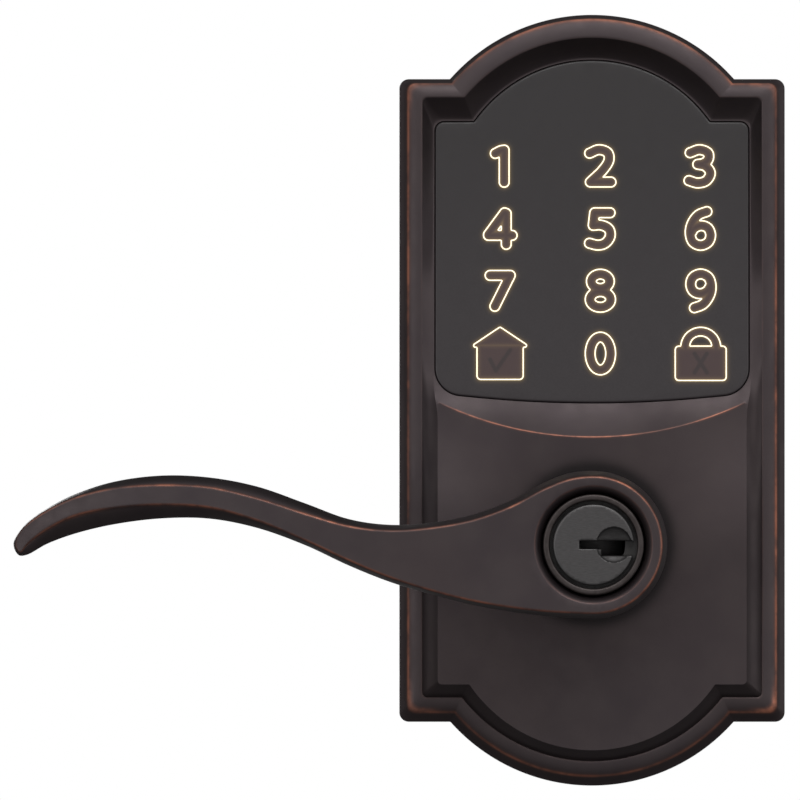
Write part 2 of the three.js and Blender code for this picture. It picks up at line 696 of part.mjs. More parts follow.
// ---------------------------------------------------------------- key cylinder

const DRIVER_PIN_YS = [-62.4, -58.6, -54.8, -51, -47.2];

function cylinderHousing() {
  const body = ring(PLUG_RADIUS + GAP, CYLINDER_RADIUS, -66.4, CYLINDER_SEAT_Y - GAP);
  const chambers = DRIVER_PIN_YS.map((y) => crossRod(1.6, "x", -12, -5, { y, sides: 10 }));
  return cut(body, ...chambers);
}

const driverPin = (y) => crossRod(1.3, "x", -10, -PLUG_RADIUS - 0.6, { y, sides: 10 });

function cylinderCollar() {
  const bevel = 0.3;
  return turned([
    [COLLAR_BORE, COLLAR_FRONT_Y + bevel], [COLLAR_BORE + bevel, COLLAR_FRONT_Y],
    [COLLAR_RADIUS - bevel, COLLAR_FRONT_Y], [COLLAR_RADIUS, COLLAR_FRONT_Y + bevel],
    [COLLAR_RADIUS, FACE_BACK_Y], [COLLAR_BORE, FACE_BACK_Y], [COLLAR_BORE, COLLAR_FRONT_Y + bevel],
  ]);
}

function keyPlug() {
  const body = turned([
    [0, PLUG_FRONT_Y], [PLUG_FACE_RADIUS - 0.3, PLUG_FRONT_Y], [PLUG_FACE_RADIUS, PLUG_FRONT_Y + 0.3],
    [PLUG_FACE_RADIUS, FACE_BACK_Y], [PLUG_RADIUS, FACE_BACK_Y], [PLUG_RADIUS, PLUG_BACK_Y],
    [0, PLUG_BACK_Y],
  ]);
  const ahead = PLUG_FRONT_Y - 2;
  const blade = block([KEYWAY_X, ahead, -KEYWAY_HALF], [9, KEYWAY_FLOOR_Y, KEYWAY_HALF]);
  const bow = block([KEYWAY_WIDE_X, ahead, KEYWAY_LOW_Z], [9, KEYWAY_FLOOR_Y, KEYWAY_HALF + 0.01]);
  const recess = rod(RECESS_RADIUS, ahead, RECESS_FLOOR_Y, { x: RECESS_X, sides: 24 });
  return cut(body, blade, bow, recess);
}

const plugTailpiece = () => block([-2.2, -44.3, -0.6], [2.2, -5.4, 0.6]);

// ---------------------------------------------------------------- clutch and drive

function driveHub() {
  const cup = turned([
    [SPINDLE_RADIUS + GAP, -16], [CLUTCH_HUB_RADIUS, -16], [CLUTCH_HUB_RADIUS, -5], [2.7, -5],
    [2.7, -7.8], [SPINDLE_RADIUS + GAP, -7.8], [SPINDLE_RADIUS + GAP, -16],
  ]);
  return cut(cup, crossRod(1.75, "z", 5, 20, { y: CLUTCH_Y, sides: 12 }));
}

const clutchPin = () =>
  crossRod(1.45, "z", SPINDLE_RADIUS + 0.35, SHOE_RADIUS - GAP, { y: CLUTCH_Y, sides: 12 });

function driveSpindle() {
  const sleeve = turned([
    [0, -4.7], [SLEEVE_RADIUS, -4.7], [SLEEVE_RADIUS, CIRCLIP_Y - GAP], [6.2, CIRCLIP_Y - GAP],
    [6.2, CIRCLIP_Y + CIRCLIP_THICK + GAP], [SLEEVE_RADIUS, CIRCLIP_Y + CIRCLIP_THICK + GAP],
    [SLEEVE_RADIUS, 16.5], [0, 16.5],
  ]);
  const half = DRIVE_SQUARE / 2;
  return join(sleeve, block([-half, 10, -half], [half, DRIVE_END_Y, half]));
}

// The plate on the drive sleeve whose arm winds the return spring.
function springDriver() {
  const plate = ring(SLEEVE_RADIUS + GAP, 10, 2.4, 4.4);
  return join(plate, block([-2, 2.4, -14], [2, 4.4, -8.8]));
}

const spindleCirclip = () => {
  const clip = ring(6.5, 9.6, CIRCLIP_Y, CIRCLIP_Y + CIRCLIP_THICK, { sides: 32 });
  return cut(clip, block([-3.2, 12, -12], [3.2, 16, -4]));
};

const PITCH_RADIUS = (GEAR_MODULE * PINION_TEETH) / 2;
const TOOTH_PITCH = Math.PI * GEAR_MODULE;

// A pinion with slim, tapering teeth.
function motorPinion() {
  const root = PITCH_RADIUS - 0.55;
  const tip = PITCH_RADIUS + 0.4;
  const points = [];
  for (let tooth = 0; tooth < PINION_TEETH; tooth++) {
    const middle = Math.PI + (tooth * 2 * Math.PI) / PINION_TEETH;
    for (const [radius, spread] of [[root, -0.26], [tip, -0.1], [tip, 0.1], [root, 0.26]]) {
      const angle = middle + spread;
      points.push(new THREE.Vector2(radius * Math.cos(angle), radius * Math.sin(angle)));
    }
  }
  const gear = slab(shapeOf(points), CLUTCH_Y - CLUTCH_WIDTH / 2, CLUTCH_Y + CLUTCH_WIDTH / 2);
  return gear.translate([PINION_X, 0, PINION_Z]);
}

// Slider: a curved shoe over the clutch hub, a stem, and a rack on the stem.
function lockingSlider() {
  const front = CLUTCH_Y - CLUTCH_WIDTH / 2;
  const back = CLUTCH_Y + CLUTCH_WIDTH / 2;
  const reach = THREE.MathUtils.degToRad(56);
  const inner = arcPoints(0, 0, SHOE_RADIUS, Math.PI / 2 - reach, Math.PI / 2 + reach, 14);
  const outer = arcPoints(0, 0, SHOE_RADIUS + 1.6, Math.PI / 2 + reach, Math.PI / 2 - reach, 14);
  const shoe = slab(shapeOf([...inner, ...outer]), front, back);
  const rackX = PINION_X - PITCH_RADIUS;
  const stem = block([-1.6, front, SHOE_RADIUS + 0.5], [rackX - 0.55, back, 27.5]);
  const teeth = [];
  for (let tooth = -2; tooth <= 3; tooth++) {
    const z = PINION_Z + (tooth + 0.5) * TOOTH_PITCH;
    const [root, tip] = [rackX - 0.8, rackX + 0.35];
    const profile = [[root, -0.42], [tip, -0.17], [tip, 0.17], [root, 0.42]];
    const points = profile.map(([x, dz]) => new THREE.Vector2(x, z + dz));
    teeth.push(slab(shapeOf(points), front, back));
  }
  return join(shoe, stem, ...teeth);
}

function clutchMotor() {
  const y0 = CLUTCH_Y + CLUTCH_WIDTH / 2 + GAP + 0.2;
  const place = { x: PINION_X, z: PINION_Z, sides: 20 };
  return turned([[0, y0], [4.6, y0], [4.6, y0 + 0.6], [4.9, y0 + 0.6], [4.9, -4.2], [0, -4.2]], place);
}

function motorBracket() {
  const outside = block([PINION_X - 2.2, -10.5, 17], [PINION_X + 7.2, PLATE_FRONT_Y - GAP, 28]);
  const seat = rod(5.2, -14, -3.5 - GAP, { x: PINION_X, z: PINION_Z, sides: 20 });
  const open = block([PINION_X - 4, -14, 15], [PINION_X + 3.4, 0, 30]);
  return cut(outside, seat, open);
}

function sliderGuide() {
  const front = CLUTCH_Y - CLUTCH_WIDTH / 2 - 0.8;
  return block([-9, front, 19.2], [-1.9, PLATE_FRONT_Y - GAP, 26]);
}

// ---------------------------------------------------------------- assembly

const assembly = new THREE.Group();
const node = (name, solid, material) => {
  const mesh = new THREE.Mesh(geometryOf(solid), material);
  mesh.name = name;
  assembly.add(mesh);
};

node("escutcheon", escutcheon(), bronze);
node("keypad_lens", keypadLens(), smokedPlastic);
node("lens_gasket", lensGasket(), foam);
node("light_guide", lightGuide(), clearPlastic);
node("touch_board", touchBoard(), boardGreen);
node("main_board", mainBoard(), boardGreen);
node("processor_shield", processorShield(), steel);
node("radio_module", radioModule(), blackPlastic);
node("board_connector", boardConnector(), acetal);
node("buzzer", buzzer(), blackPlastic);
node("back_plate", backPlate(), steel);
node("back_gasket", backGasket(), foam);
node("cable_grommet", cableGrommet(), blackPlastic);
node("lever_bushing", leverBushing(), blackPlastic);
node("spring_cage", springCage(), steel);
node("return_spring", returnSpring(), springSteel);
node("mounting_post_left", mountingPost(-POST_X), steel);
node("mounting_post_right", mountingPost(POST_X), steel);
node("clutch_motor", clutchMotor(), steel);
node("motor_bracket", motorBracket(), acetal);
node("slider_guide", sliderGuide(), acetal);

let screwNumber = 0;
for (const x of [-COVER_SCREW_X, COVER_SCREW_X]) {
  for (const z of COVER_SCREW_ZS) node(`cover_screw_${++screwNumber}`, coverScrew(x, z), steel);
}
screwNumber = 0;
for (const x of [-BOARD_SCREW_X, BOARD_SCREW_X]) {
  for (const z of BOARD_SCREW_ZS) node(`board_screw_${++screwNumber}`, boardScrew(x, z), steel);
}

node("lever_handle", leverHandle(), bronze);
node("lever_spindle", leverSpindle(), steel);
node("catch_pin", catchPin(), steel);
node("cylinder_housing", cylinderHousing(), brass);
node("cylinder_collar", cylinderCollar(), bronze);
DRIVER_PIN_YS.forEach((y, i) => node(`driver_pin_${i + 1}`, driverPin(y), brass));
node("key_plug", keyPlug(), blackNickel);
node("plug_tailpiece", plugTailpiece(), brass);

node("drive_hub", driveHub(), steel);
node("drive_spindle", driveSpindle(), steel);
node("spring_driver", springDriver(), steel);
node("spindle_circlip", spindleCirclip(), springSteel);
node("clutch_pin", clutchPin(), steel);
node("motor_pinion", motorPinion(), brass);
node("locking_slider", lockingSlider(), steel);

export default assembly;
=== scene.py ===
"""Looks of the keypad lever lock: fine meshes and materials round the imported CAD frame.

Shapes are worked out in millimetres and written to the meshes in metres. +Z is up, the front
faces -Y, and the lever's axis is the Y axis.
"""
import json
import math

import bmesh
import bpy
import numpy as np
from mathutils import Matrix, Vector
from mathutils.geometry import delaunay_2d_cdt


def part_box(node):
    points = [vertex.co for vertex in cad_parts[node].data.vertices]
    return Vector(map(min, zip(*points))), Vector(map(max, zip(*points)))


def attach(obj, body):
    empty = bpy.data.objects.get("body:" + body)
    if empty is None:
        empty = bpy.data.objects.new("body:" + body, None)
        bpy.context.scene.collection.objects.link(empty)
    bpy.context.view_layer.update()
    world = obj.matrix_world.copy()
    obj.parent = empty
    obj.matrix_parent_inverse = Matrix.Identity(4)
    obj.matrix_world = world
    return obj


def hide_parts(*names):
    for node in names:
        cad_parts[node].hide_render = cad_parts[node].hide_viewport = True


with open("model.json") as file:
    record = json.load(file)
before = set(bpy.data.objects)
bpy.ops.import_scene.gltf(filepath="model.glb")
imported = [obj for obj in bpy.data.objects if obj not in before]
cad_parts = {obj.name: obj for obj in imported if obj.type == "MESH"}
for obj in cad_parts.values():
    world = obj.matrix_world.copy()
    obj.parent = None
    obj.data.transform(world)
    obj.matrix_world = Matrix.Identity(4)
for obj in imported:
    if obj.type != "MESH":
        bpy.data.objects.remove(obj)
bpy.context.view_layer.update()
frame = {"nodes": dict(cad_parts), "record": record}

MM = 0.001
TAU = 2 * math.pi


def near(node, axis, high=False):
    """One face of a CAD node's box, in millimetres."""
    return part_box(node)[1 if high else 0][axis] / MM


def front_and_back(node):
    return near(node, 1), near(node, 1, high=True)


def middle(node):
    """Middle of a CAD node's box in x, z."""
    return tuple((near(node, axis) + near(node, axis, high=True)) / 2 for axis in (0, 2))


# ------------------------------------------------------------------ sizes, from the frame

HALF_WIDTH = near("escutcheon", 0, high=True)
PLATE_TOP = near("escutcheon", 2, high=True)
PLATE_FOOT = near("escutcheon", 2)
SHELL_BACK = near("escutcheon", 1, high=True)
LEVER_FRONT, LEVER_BACK = front_and_back("lever_handle")
LEVER_TIP = near("lever_handle", 0)
LENS_FOOT = near("keypad_lens", 2)

ARCH = 39.7  # radius of the outline's arches
ARCH_TOP = PLATE_TOP - ARCH
ARCH_FOOT = PLATE_FOOT + ARCH
SHOULDER_TOP = 97.5
SHOULDER_FOOT = -37.4
RIM = -18.0
PANEL = -22.0
CREASE = 75.0  # radius of the crease under the lens
CREASE_Z = 97.4
LENS_LEAN = math.radians(4.45)
LENS_MID_Y = -16.2
LENS_MID_Z = 65.5
LENS_SIDE = 32.95
LENS_ARCH = 30.2
LENS_SHOULDER = 88.6
BOSS = 14.4
BEARING = 12.5  # radius of the hole through the boss
HUB = 15.35
HUB_EDGE = 14.25
WALL = 3.0
HOLLOW_FRONT = -9.2  # front of the hollow behind the rim
MOTOR_ROOM_FRONT = -16.4
HUB_ROOM_FRONT = -19.0
HUB_ROOM_TOP = 16.0
MOTOR_ROOM_TOP = 29.4
MOTOR_ROOM_SIDE = 22.0
SCREW_X = 34.0
SCREW_ZS = (84.0, 30.0, -28.0)
PILOT = 1.6
SCREW_END = -10.0
POST_X = 19.05


# ------------------------------------------------------------------ small maths


def lerp(a, b, t):
    return a + (b - a) * t


def ease(t):
    t = np.clip(t, 0.0, 1.0)
    return t * t * (3 - 2 * t)


def bell(distance, width):
    return np.exp(-((distance / width) ** 2))


def arc(cx, cz, radius, start, end, steps):
    """Points of an arc in x, z, its ends included."""
    return [
        (cx + radius * math.cos(a), cz + radius * math.sin(a))
        for a in np.linspace(start, end, steps + 1)
    ]


def line(start, end, steps):
    """Points between two corners, both left out."""
    return [
        (lerp(start[0], end[0], k / steps), lerp(start[1], end[1], k / steps))
        for k in range(1, steps)
    ]


def spline(points, steps):
    """Centripetal Catmull-Rom curve through all but the first and last point."""
    points = [np.array(p, float) for p in points]
    out = []
    for p0, p1, p2, p3 in zip(points, points[1:], points[2:], points[3:]):
        t0 = 0.0
        t1 = t0 + math.sqrt(np.linalg.norm(p1 - p0))
        t2 = t1 + math.sqrt(np.linalg.norm(p2 - p1))
        t3 = t2 + math.sqrt(np.linalg.norm(p3 - p2))
        for t in np.linspace(t1, t2, steps, endpoint=False):
            a1 = (t1 - t) / (t1 - t0) * p0 + (t - t0) / (t1 - t0) * p1
            a2 = (t2 - t) / (t2 - t1) * p1 + (t - t1) / (t2 - t1) * p2
            a3 = (t3 - t) / (t3 - t2) * p2 + (t - t2) / (t3 - t2) * p3
            b1 = (t2 - t) / (t2 - t0) * a1 + (t - t0) / (t2 - t0) * a2
            b2 = (t3 - t) / (t3 - t1) * a2 + (t - t1) / (t3 - t1) * a3
            out.append((t2 - t) / (t2 - t1) * b1 + (t - t1) / (t2 - t1) * b2)
    out.append(points[-2])
    return np.array(out)


def distance_to_path(x, z, path):
    """Distance of each x, z from a chain of straight stretches."""
    best = np.full(np.shape(x), 1e9)
    for (ax, az), (bx, bz) in zip(path, path[1:]):
        dx, dz = bx - ax, bz - az
        t = np.clip(((x - ax) * dx + (z - az) * dz) / (dx * dx + dz * dz + 1e-12), 0, 1)
        best = np.minimum(best, np.hypot(x - ax - t * dx, z - az - t * dz))
    return best


def inside(x, z, loop):
    """True for each x, z inside a closed loop."""
    odd = np.zeros(np.shape(x), bool)
    for (ax, az), (bx, bz) in zip(loop, np.roll(loop, -1, axis=0)):
        if az == bz:
            continue
        crosses = (az > z) != (bz > z)
        odd ^= crosses & (x < (bx - ax) * (z - az) / (bz - az) + ax)
    return odd


# ------------------------------------------------------------------ mesh building


class Skin:
    """A mesh under way: points in millimetres, faces, and how worn each point is."""

    def __init__(self):
        self.points, self.faces, self.wear = [], [], []

    def add(self, points, wear=0.0):
        start = len(self.points)
        self.points += [tuple(map(float, p)) for p in points]
        self.wear += list(np.broadcast_to(wear, (len(points),)))
        return list(range(start, len(self.points)))

    def ring(self, outline, y, wear=0.0):
        """An x, z outline as a ring of points. y is one number or one for each point."""
        y = np.broadcast_to(y, (len(outline),))
        return self.add([(p[0], h, p[1]) for p, h in zip(outline, y)], wear)

    def bridge(self, a, b):
        """Quads between two rings of equally many points."""
        n = len(a)
        for i in range(n):
            k = (i + 1) % n
            self.faces.append((a[i], a[k], b[k], b[i]))

    def chain(self, rings):
        for a, b in zip(rings, rings[1:]):
            self.bridge(a, b)

    def fill(self, outer, holes, height, spacing, chains=(), finer=None):
        """Triangles over the area inside outer and outside the holes, all rings of this skin.

        height(x, z) gives y inside, chains are rows of points to keep as edges, and finer is a
        narrower spacing with the test that says where it is used.
        """
        loops = [outer, *holes]
        known = [i for row in (*loops, *chains) for i in row]
        flat = [np.array([self.points[i][::2] for i in row]) for row in (*loops, *chains)]
        low, high = flat[0].min(axis=0), flat[0].max(axis=0)
        grid = self._grid(low, high, spacing)
        clear = np.full(len(grid), spacing * 0.3)
        if finer is not None:
            fine = self._grid(low, high, finer[0])
            grid = grid[~finer[1](*grid.T)]
            fine = fine[finer[1](*fine.T)]
            clear = np.repeat((spacing * 0.3, finer[0] * 0.4), (len(grid), len(fine)))
            grid = np.vstack([grid, fine])
        keep = inside(*grid.T, flat[0])
        for hole in flat[1:len(loops)]:
            keep &= ~inside(*grid.T, hole)
        for k, row in enumerate(flat):
            path = np.vstack([row, row[:1]]) if k < len(loops) else row
            keep[keep] = distance_to_path(*grid[keep].T, path) > clear[keep]
        grid = grid[keep]
        edges, start = [], 0
        for k, row in enumerate(flat):
            n = len(row)
            edges += [(start + i, start + (i + 1) % n) for i in range(n if k < len(loops) else n - 1)]
            start += n
        coords = [Vector(p) for p in np.vstack([*flat, grid])]
        verts, _, tris, origins, _, _ = delaunay_2d_cdt(coords, edges, [], 0, 1e-5)
        known += self.add(np.column_stack([grid[:, 0], height(*grid.T), grid[:, 1]]))
        place = [known[o[0]] for o in origins]
        centres = np.array([np.mean([verts[i] for i in t], axis=0) for t in tris])
        good = inside(*centres.T, flat[0])
        for hole in flat[1:len(loops)]:
            good &= ~inside(*centres.T, hole)
        self.faces += [tuple(place[i] for i in t) for t, ok in zip(tris, good) if ok]

    @staticmethod
    def _grid(low, high, spacing):
        xs = np.arange(low[0] + spacing / 2, high[0], spacing)
        zs = np.arange(low[1] + spacing / 2, high[1], spacing * 0.87)
        x, z = np.meshgrid(xs, zs)
        x = x + (np.arange(len(zs)) % 2)[:, None] * spacing / 2
        return np.column_stack([x.ravel(), z.ravel()])

    def build(self, name, slot, body, replaced=(), crease=32, material=None, **more):
        """The finished piece in a slot's finish, smooth but for sharp creases."""
        mesh = bpy.data.meshes.new(name)
        mesh.from_pydata([tuple(c * MM for c in p) for p in self.points], [], self.faces)
        wear = mesh.attributes.new("wear", "FLOAT", "POINT")
        wear.data.foreach_set("value", np.array(self.wear, np.float32))
        for label, values in more.items():
            layer = mesh.attributes.new(label, "FLOAT", "POINT")
            layer.data.foreach_set("value", np.array(values, np.float32))
        work = bmesh.new()
        work.from_mesh(mesh)
        bmesh.ops.recalc_face_normals(work, faces=work.faces)
        work.to_mesh(mesh)
        work.free()
        mesh.shade_smooth()
        mesh.set_sharp_from_angle(angle=math.radians(crease))
        mesh.materials.append(material or FINISH[slot])
        piece = bpy.data.objects.new(name, mesh)
        bpy.context.scene.collection.objects.link(piece)
        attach(piece, body)
        if replaced:
            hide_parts(*replaced)
        return piece


def turn(profile, sides=96, place=(0.0, 0.0), closed=False):
    """A skin turned round a line along Y from (radius, y, wear) points.

    A profile that isn't closed is capped at each end with a small round of triangles.
    """
    skin = Skin()
    circle = [(math.cos(a), math.sin(a)) for a in np.linspace(0, TAU, sides, endpoint=False)]
    rings = []
    for radius, y, *worn in profile:
        outline = [(place[0] + radius * c, place[1] + radius * s) for c, s in circle]
        rings.append(skin.ring(outline, y, worn[0] if worn else 0.0))
    skin.chain(rings)
    if closed:
        skin.bridge(rings[-1], rings[0])
        return skin
    for ring, (_, y, *worn) in ((rings[0], profile[0]), (rings[-1], profile[-1])):
        (middle,) = skin.ring([place], y, worn[0] if worn else 0.0)
        skin.faces += [(ring[i], ring[(i + 1) % sides], middle) for i in range(sides)]
    return skin


def rounded(profile, radius=0.25, steps=3):
    """Rounds the corners of a profile of (radius, y) points, but for its ends."""
    out = [tuple(profile[0])]
    for before, corner, after in zip(profile, profile[1:], profile[2:]):
        before, corner, after = (np.array(p[:2], float) for p in (before, corner, after))
        reach = min(radius, np.linalg.norm(before - corner) / 2.2, np.linalg.norm(after - corner) / 2.2)
        start = corner + (before - corner) / np.linalg.norm(before - corner) * reach
        end = corner + (after - corner) / np.linalg.norm(after - corner) * reach
        for t in np.linspace(0, 1, steps + 1):
            out.append(tuple((1 - t) ** 2 * start + 2 * t * (1 - t) * corner + t * t * end))
    out.append(tuple(profile[-1]))
    return out


def plate(loops, front, back, bevel=0.2):
    """A flat sheet in x, z with holes: loops[0] is its outline, the others are its holes."""
    skin = Skin()
    edges = []
    for loop in loops:
        loop = np.array(loop)
        inward = offset(loop, -bevel if edges else bevel)
        rings = [
            skin.ring(inward, front),
            skin.ring(loop, front + bevel),
            skin.ring(loop, back - bevel),
            skin.ring(inward, back),
        ]
        skin.chain(rings)
        edges.append(rings)
    for k, y in ((0, front), (3, back)):
        skin.fill(edges[0][k], [e[k] for e in edges[1:]], flat(y), 9.0)
    return skin


def offset(loop, inset):
    """A loop drawn in by an inset (outward where the inset is negative), whichever way it runs."""
    loop = np.array(loop, float)
    before, after = np.roll(loop, 1, axis=0), np.roll(loop, -1, axis=0)
    along = after - before
    along /= np.linalg.norm(along, axis=1)[:, None]
    area = np.sum(loop[:, 0] * after[:, 1] - after[:, 0] * loop[:, 1])
    inward = np.column_stack([-along[:, 1], along[:, 0]]) * np.sign(area)
    return loop + inward * inset


def circle_loop(x, z, radius, sides=28):
    return np.array(arc(x, z, radius, 0, TAU, sides)[:-1])


def flat(y):
    """A height for Skin.fill that is the same everywhere."""
    return lambda x, z: np.full(len(x), y)


# ------------------------------------------------------------------ materials


class Nodes:
    """Short names for building a node tree."""

    def __init__(self, name):
        self.material = bpy.data.materials.new(name)
        self.material.use_nodes = True
        self.tree = self.material.node_tree
        self.shader = self.tree.nodes["Principled BSDF"]
        self.where = self.add("ShaderNodeTexCoord").outputs["Object"]

    def add(self, kind, inputs=(), **settings):
        node = self.tree.nodes.new(kind)
        for key, value in settings.items():
            setattr(node, key, value)
        for key, value in dict(inputs).items():
            self.put(node.inputs[key], value)
        return node

    def put(self, socket, value):
        if isinstance(value, bpy.types.NodeSocket):
            self.tree.links.new(value, socket)
        else:
            socket.default_value = value

    def set(self, **inputs):
        for key, value in inputs.items():
            self.put(self.shader.inputs[key.replace("_", " ")], value)

    def noise(self, scale, detail=3.0, roughness=0.55, stretch=None):
        where = self.where
        if stretch:
            where = self.add("ShaderNodeMapping", {"Vector": where, "Scale": stretch}).outputs[0]
        made = self.add(
            "ShaderNodeTexNoise",
            {"Vector": where, "Scale": scale, "Detail": detail, "Roughness": roughness},
        )
        return made.outputs["Fac"]

    def map(self, value, low, high, to_low=0.0, to_high=1.0):
        made = self.add(
            "ShaderNodeMapRange",
            {"Value": value, "From Min": low, "From Max": high, "To Min": to_low, "To Max": to_high},
            interpolation_type="SMOOTHSTEP",
        )
        return made.outputs["Result"]

    def math(self, operation, a, b=0.0, clamp=False):
        made = self.add("ShaderNodeMath", operation=operation, use_clamp=clamp)
        self.put(made.inputs[0], a)
        self.put(made.inputs[1], b)
        return made.outputs[0]

    def mix(self, share, a, b):
        made = self.add("ShaderNodeMix", data_type="RGBA")
        for socket, value in zip((made.inputs[0], made.inputs[6], made.inputs[7]), (share, a, b)):
            self.put(socket, value)
        return made.outputs[2]

    def attribute(self, name):
        return self.add("ShaderNodeAttribute", attribute_name=name).outputs["Fac"]

    def bump(self, height, strength, distance):
        made = self.add(
            "ShaderNodeBump", {"Height": height, "Strength": strength, "Distance": distance}
        )
        self.put(self.shader.inputs["Normal"], made.outputs["Normal"])


def colour(r, g, b):
    """A display colour of 0 to 255 as linear light."""
    def linear(c):
        c /= 255
        return c / 12.92 if c <= 0.04045 else ((c + 0.055) / 1.055) ** 2.4
    return (linear(r), linear(g), linear(b), 1.0)


def aged_bronze(name="aged_bronze", rough=0.4):
    """Dark, oil-rubbed finish over copper that shows where edges are worn, darkened by painted shade where
    the dark attribute is set.
    """
    n = Nodes(name)
    dark = n.mix(n.map(n.noise(110, 4), 0.3, 0.7), colour(56, 49, 51), colour(61, 54, 55))
    dark = n.mix(n.map(n.noise(16, 2), 0.35, 0.7, 0.0, 0.3), dark, colour(62, 52, 51))
    broken = n.map(n.noise(380, 3), 0.3, 0.62, 0.4, 1.0)
    patch = n.map(n.noise(70, 2), 0.35, 0.6, 0.4, 1.15)
    worn = n.math("MULTIPLY", n.attribute("wear"), n.math("MULTIPLY", broken, patch), clamp=True)
    copper = n.mix(n.noise(300, 2), colour(150, 92, 70), colour(182, 120, 96))
    # Painted shade and shadow: the finish goes almost black where the dark attribute is set.
    bronze_and_painted_shade = n.mix(n.attribute("dark"), dark, colour(22, 18, 19))
    n.set(Base_Color=n.mix(worn, bronze_and_painted_shade, copper))
    n.set(Metallic=0.72)
    n.set(Roughness=n.map(n.noise(260, 3), 0.25, 0.75, rough - 0.04, rough + 0.05))
    n.set(Specular_IOR_Level=0.5)
    n.bump(n.noise(1600, 2), 0.06, 0.0001)
    return n.material


def smoked_lens():
    """Smoked touch plastic with painted shade towards its top: glyph areas are a shade browner, and light
    bleeds round their lines.
    """
    n = Nodes("smoked_lens")
    grain = n.noise(2200, 2)
    height = n.add("ShaderNodeSeparateXYZ", {"Vector": n.where}).outputs["Z"]
    base = n.mix(n.map(grain, 0.3, 0.7), colour(36, 31, 33), colour(40, 35, 37))
    # Painted shade: the lens darkens towards its top.
    base = n.mix(n.map(height, 0.035, 0.1), base, colour(27, 23, 24))
    filled = n.mix(n.attribute("filled"), base, colour(64, 48, 47))
    marked = n.mix(n.attribute("marked"), filled, colour(48, 38, 38))
    n.set(Base_Color=marked)
    n.set(Roughness=n.map(n.noise(500, 2), 0.3, 0.7, 0.32, 0.38), Specular_IOR_Level=0.36)
    n.set(Emission_Color=n.mix(n.attribute("glow"), (0, 0, 0, 1), colour(190, 160, 96)))
    n.set(Emission_Strength=0.55)
    n.bump(grain, 0.03, 0.00005)
    return n.material


def lit_line():
    n = Nodes("lit_line")
    n.set(Base_Color=colour(240, 228, 196), Roughness=0.5)
    n.set(Emission_Color=n.mix(n.noise(900, 2), colour(255, 243, 214), colour(255, 236, 196)))
    n.set(Emission_Strength=0.95)
    return n.material


def brushed(name, light, dark, rough=0.3, scale=(1, 1, 1), grain=900, metallic=1.0):
    """Metal with fine grain. scale stretches the grain along one axis."""
    n = Nodes(name)
    streak = n.noise(grain, 3, stretch=scale)
    n.set(Base_Color=n.mix(n.map(streak, 0.3, 0.7), dark, light), Metallic=metallic)
    n.set(Roughness=n.map(streak, 0.25, 0.75, rough - 0.06, rough + 0.08))
    n.bump(streak, 0.06, 0.0001)
    return n.material


def moulded(name, light, dark, rough=0.55, grain=1400):
    """Moulded plastic or rubber with a fine spark-eroded texture."""
    n = Nodes(name)
    pores = n.noise(grain, 3)
    n.set(Base_Color=n.mix(n.map(pores, 0.3, 0.7), dark, light))
    n.set(Roughness=n.map(pores, 0.3, 0.7, rough - 0.05, rough + 0.08))
    n.bump(pores, 0.15, 0.0001)
    return n.material


def circuit_board():
    """Green mask over faint copper tracks."""
    n = Nodes("circuit_board")
    tracks = n.add("ShaderNodeTexBrick", {"Vector": n.where, "Scale": 320.0, "Mortar Size": 0.03})
    mask = n.mix(n.map(n.noise(300, 2), 0.3, 0.7), colour(18, 66, 44), colour(26, 82, 54))
    n.set(Base_Color=n.mix(tracks.outputs["Fac"], mask, colour(44, 104, 66)), Roughness=0.35)
    return n.material


FINISH = {
    "aged_bronze": aged_bronze(),
    "smoked_lens": smoked_lens(),
    "black_nickel": brushed(
        "black_nickel", colour(74, 73, 73), colour(66, 65, 65), 0.36, (1, 1, 6), metallic=0.8),
    "steel": brushed("steel", colour(188, 190, 192), colour(162, 165, 168), 0.4, (1, 5, 1), 700, 0.7),
    "spring_steel": brushed("spring_steel", colour(112, 114, 118), colour(88, 90, 94), 0.32, (4, 4, 4)),
    "brass": brushed("brass", colour(206, 168, 98), colour(180, 142, 78), 0.3, (1, 5, 1)),
    "black_plastic": moulded("black_plastic", colour(38, 36, 36), colour(28, 26, 26)),
    "natural_plastic": moulded("natural_plastic", colour(224, 222, 214), colour(206, 203, 194), 0.5),
    "circuit_board": circuit_board(),
    "light_guide": moulded("light_guide", colour(240, 232, 208), colour(226, 216, 190), 0.3),
    "foam": moulded("foam", colour(44, 44, 45), colour(28, 28, 29), 0.9, 700),
    "rubber": moulded("rubber", colour(30, 30, 30), colour(20, 20, 20), 0.75),
}
ZINC = brushed("zinc_sheet", colour(186, 188, 187), colour(166, 169, 170), 0.46, grain=520, metallic=0.55)
COLLAR = brushed("collar_dark", colour(62, 57, 56), colour(52, 47, 46), 0.36, metallic=0.8)
BLACKENED = moulded("blackened_brass", colour(26, 22, 20), colour(17, 15, 14), 0.5)
LIT = lit_line()

for part in frame["record"]["subparts"]:
    dressed = frame["nodes"][part["node"]].data.materials
    for k in range(len(dressed)):
        dressed[k] = FINISH[part["material_slot"]]
frame["nodes"]["cylinder_housing"].data.materials[0] = BLACKENED
frame["nodes"]["spring_cage"].data.materials[0] = ZINC


# ------------------------------------------------------------------ escutcheon

SIDE_STEPS = 72
ARCH_STEPS = 40


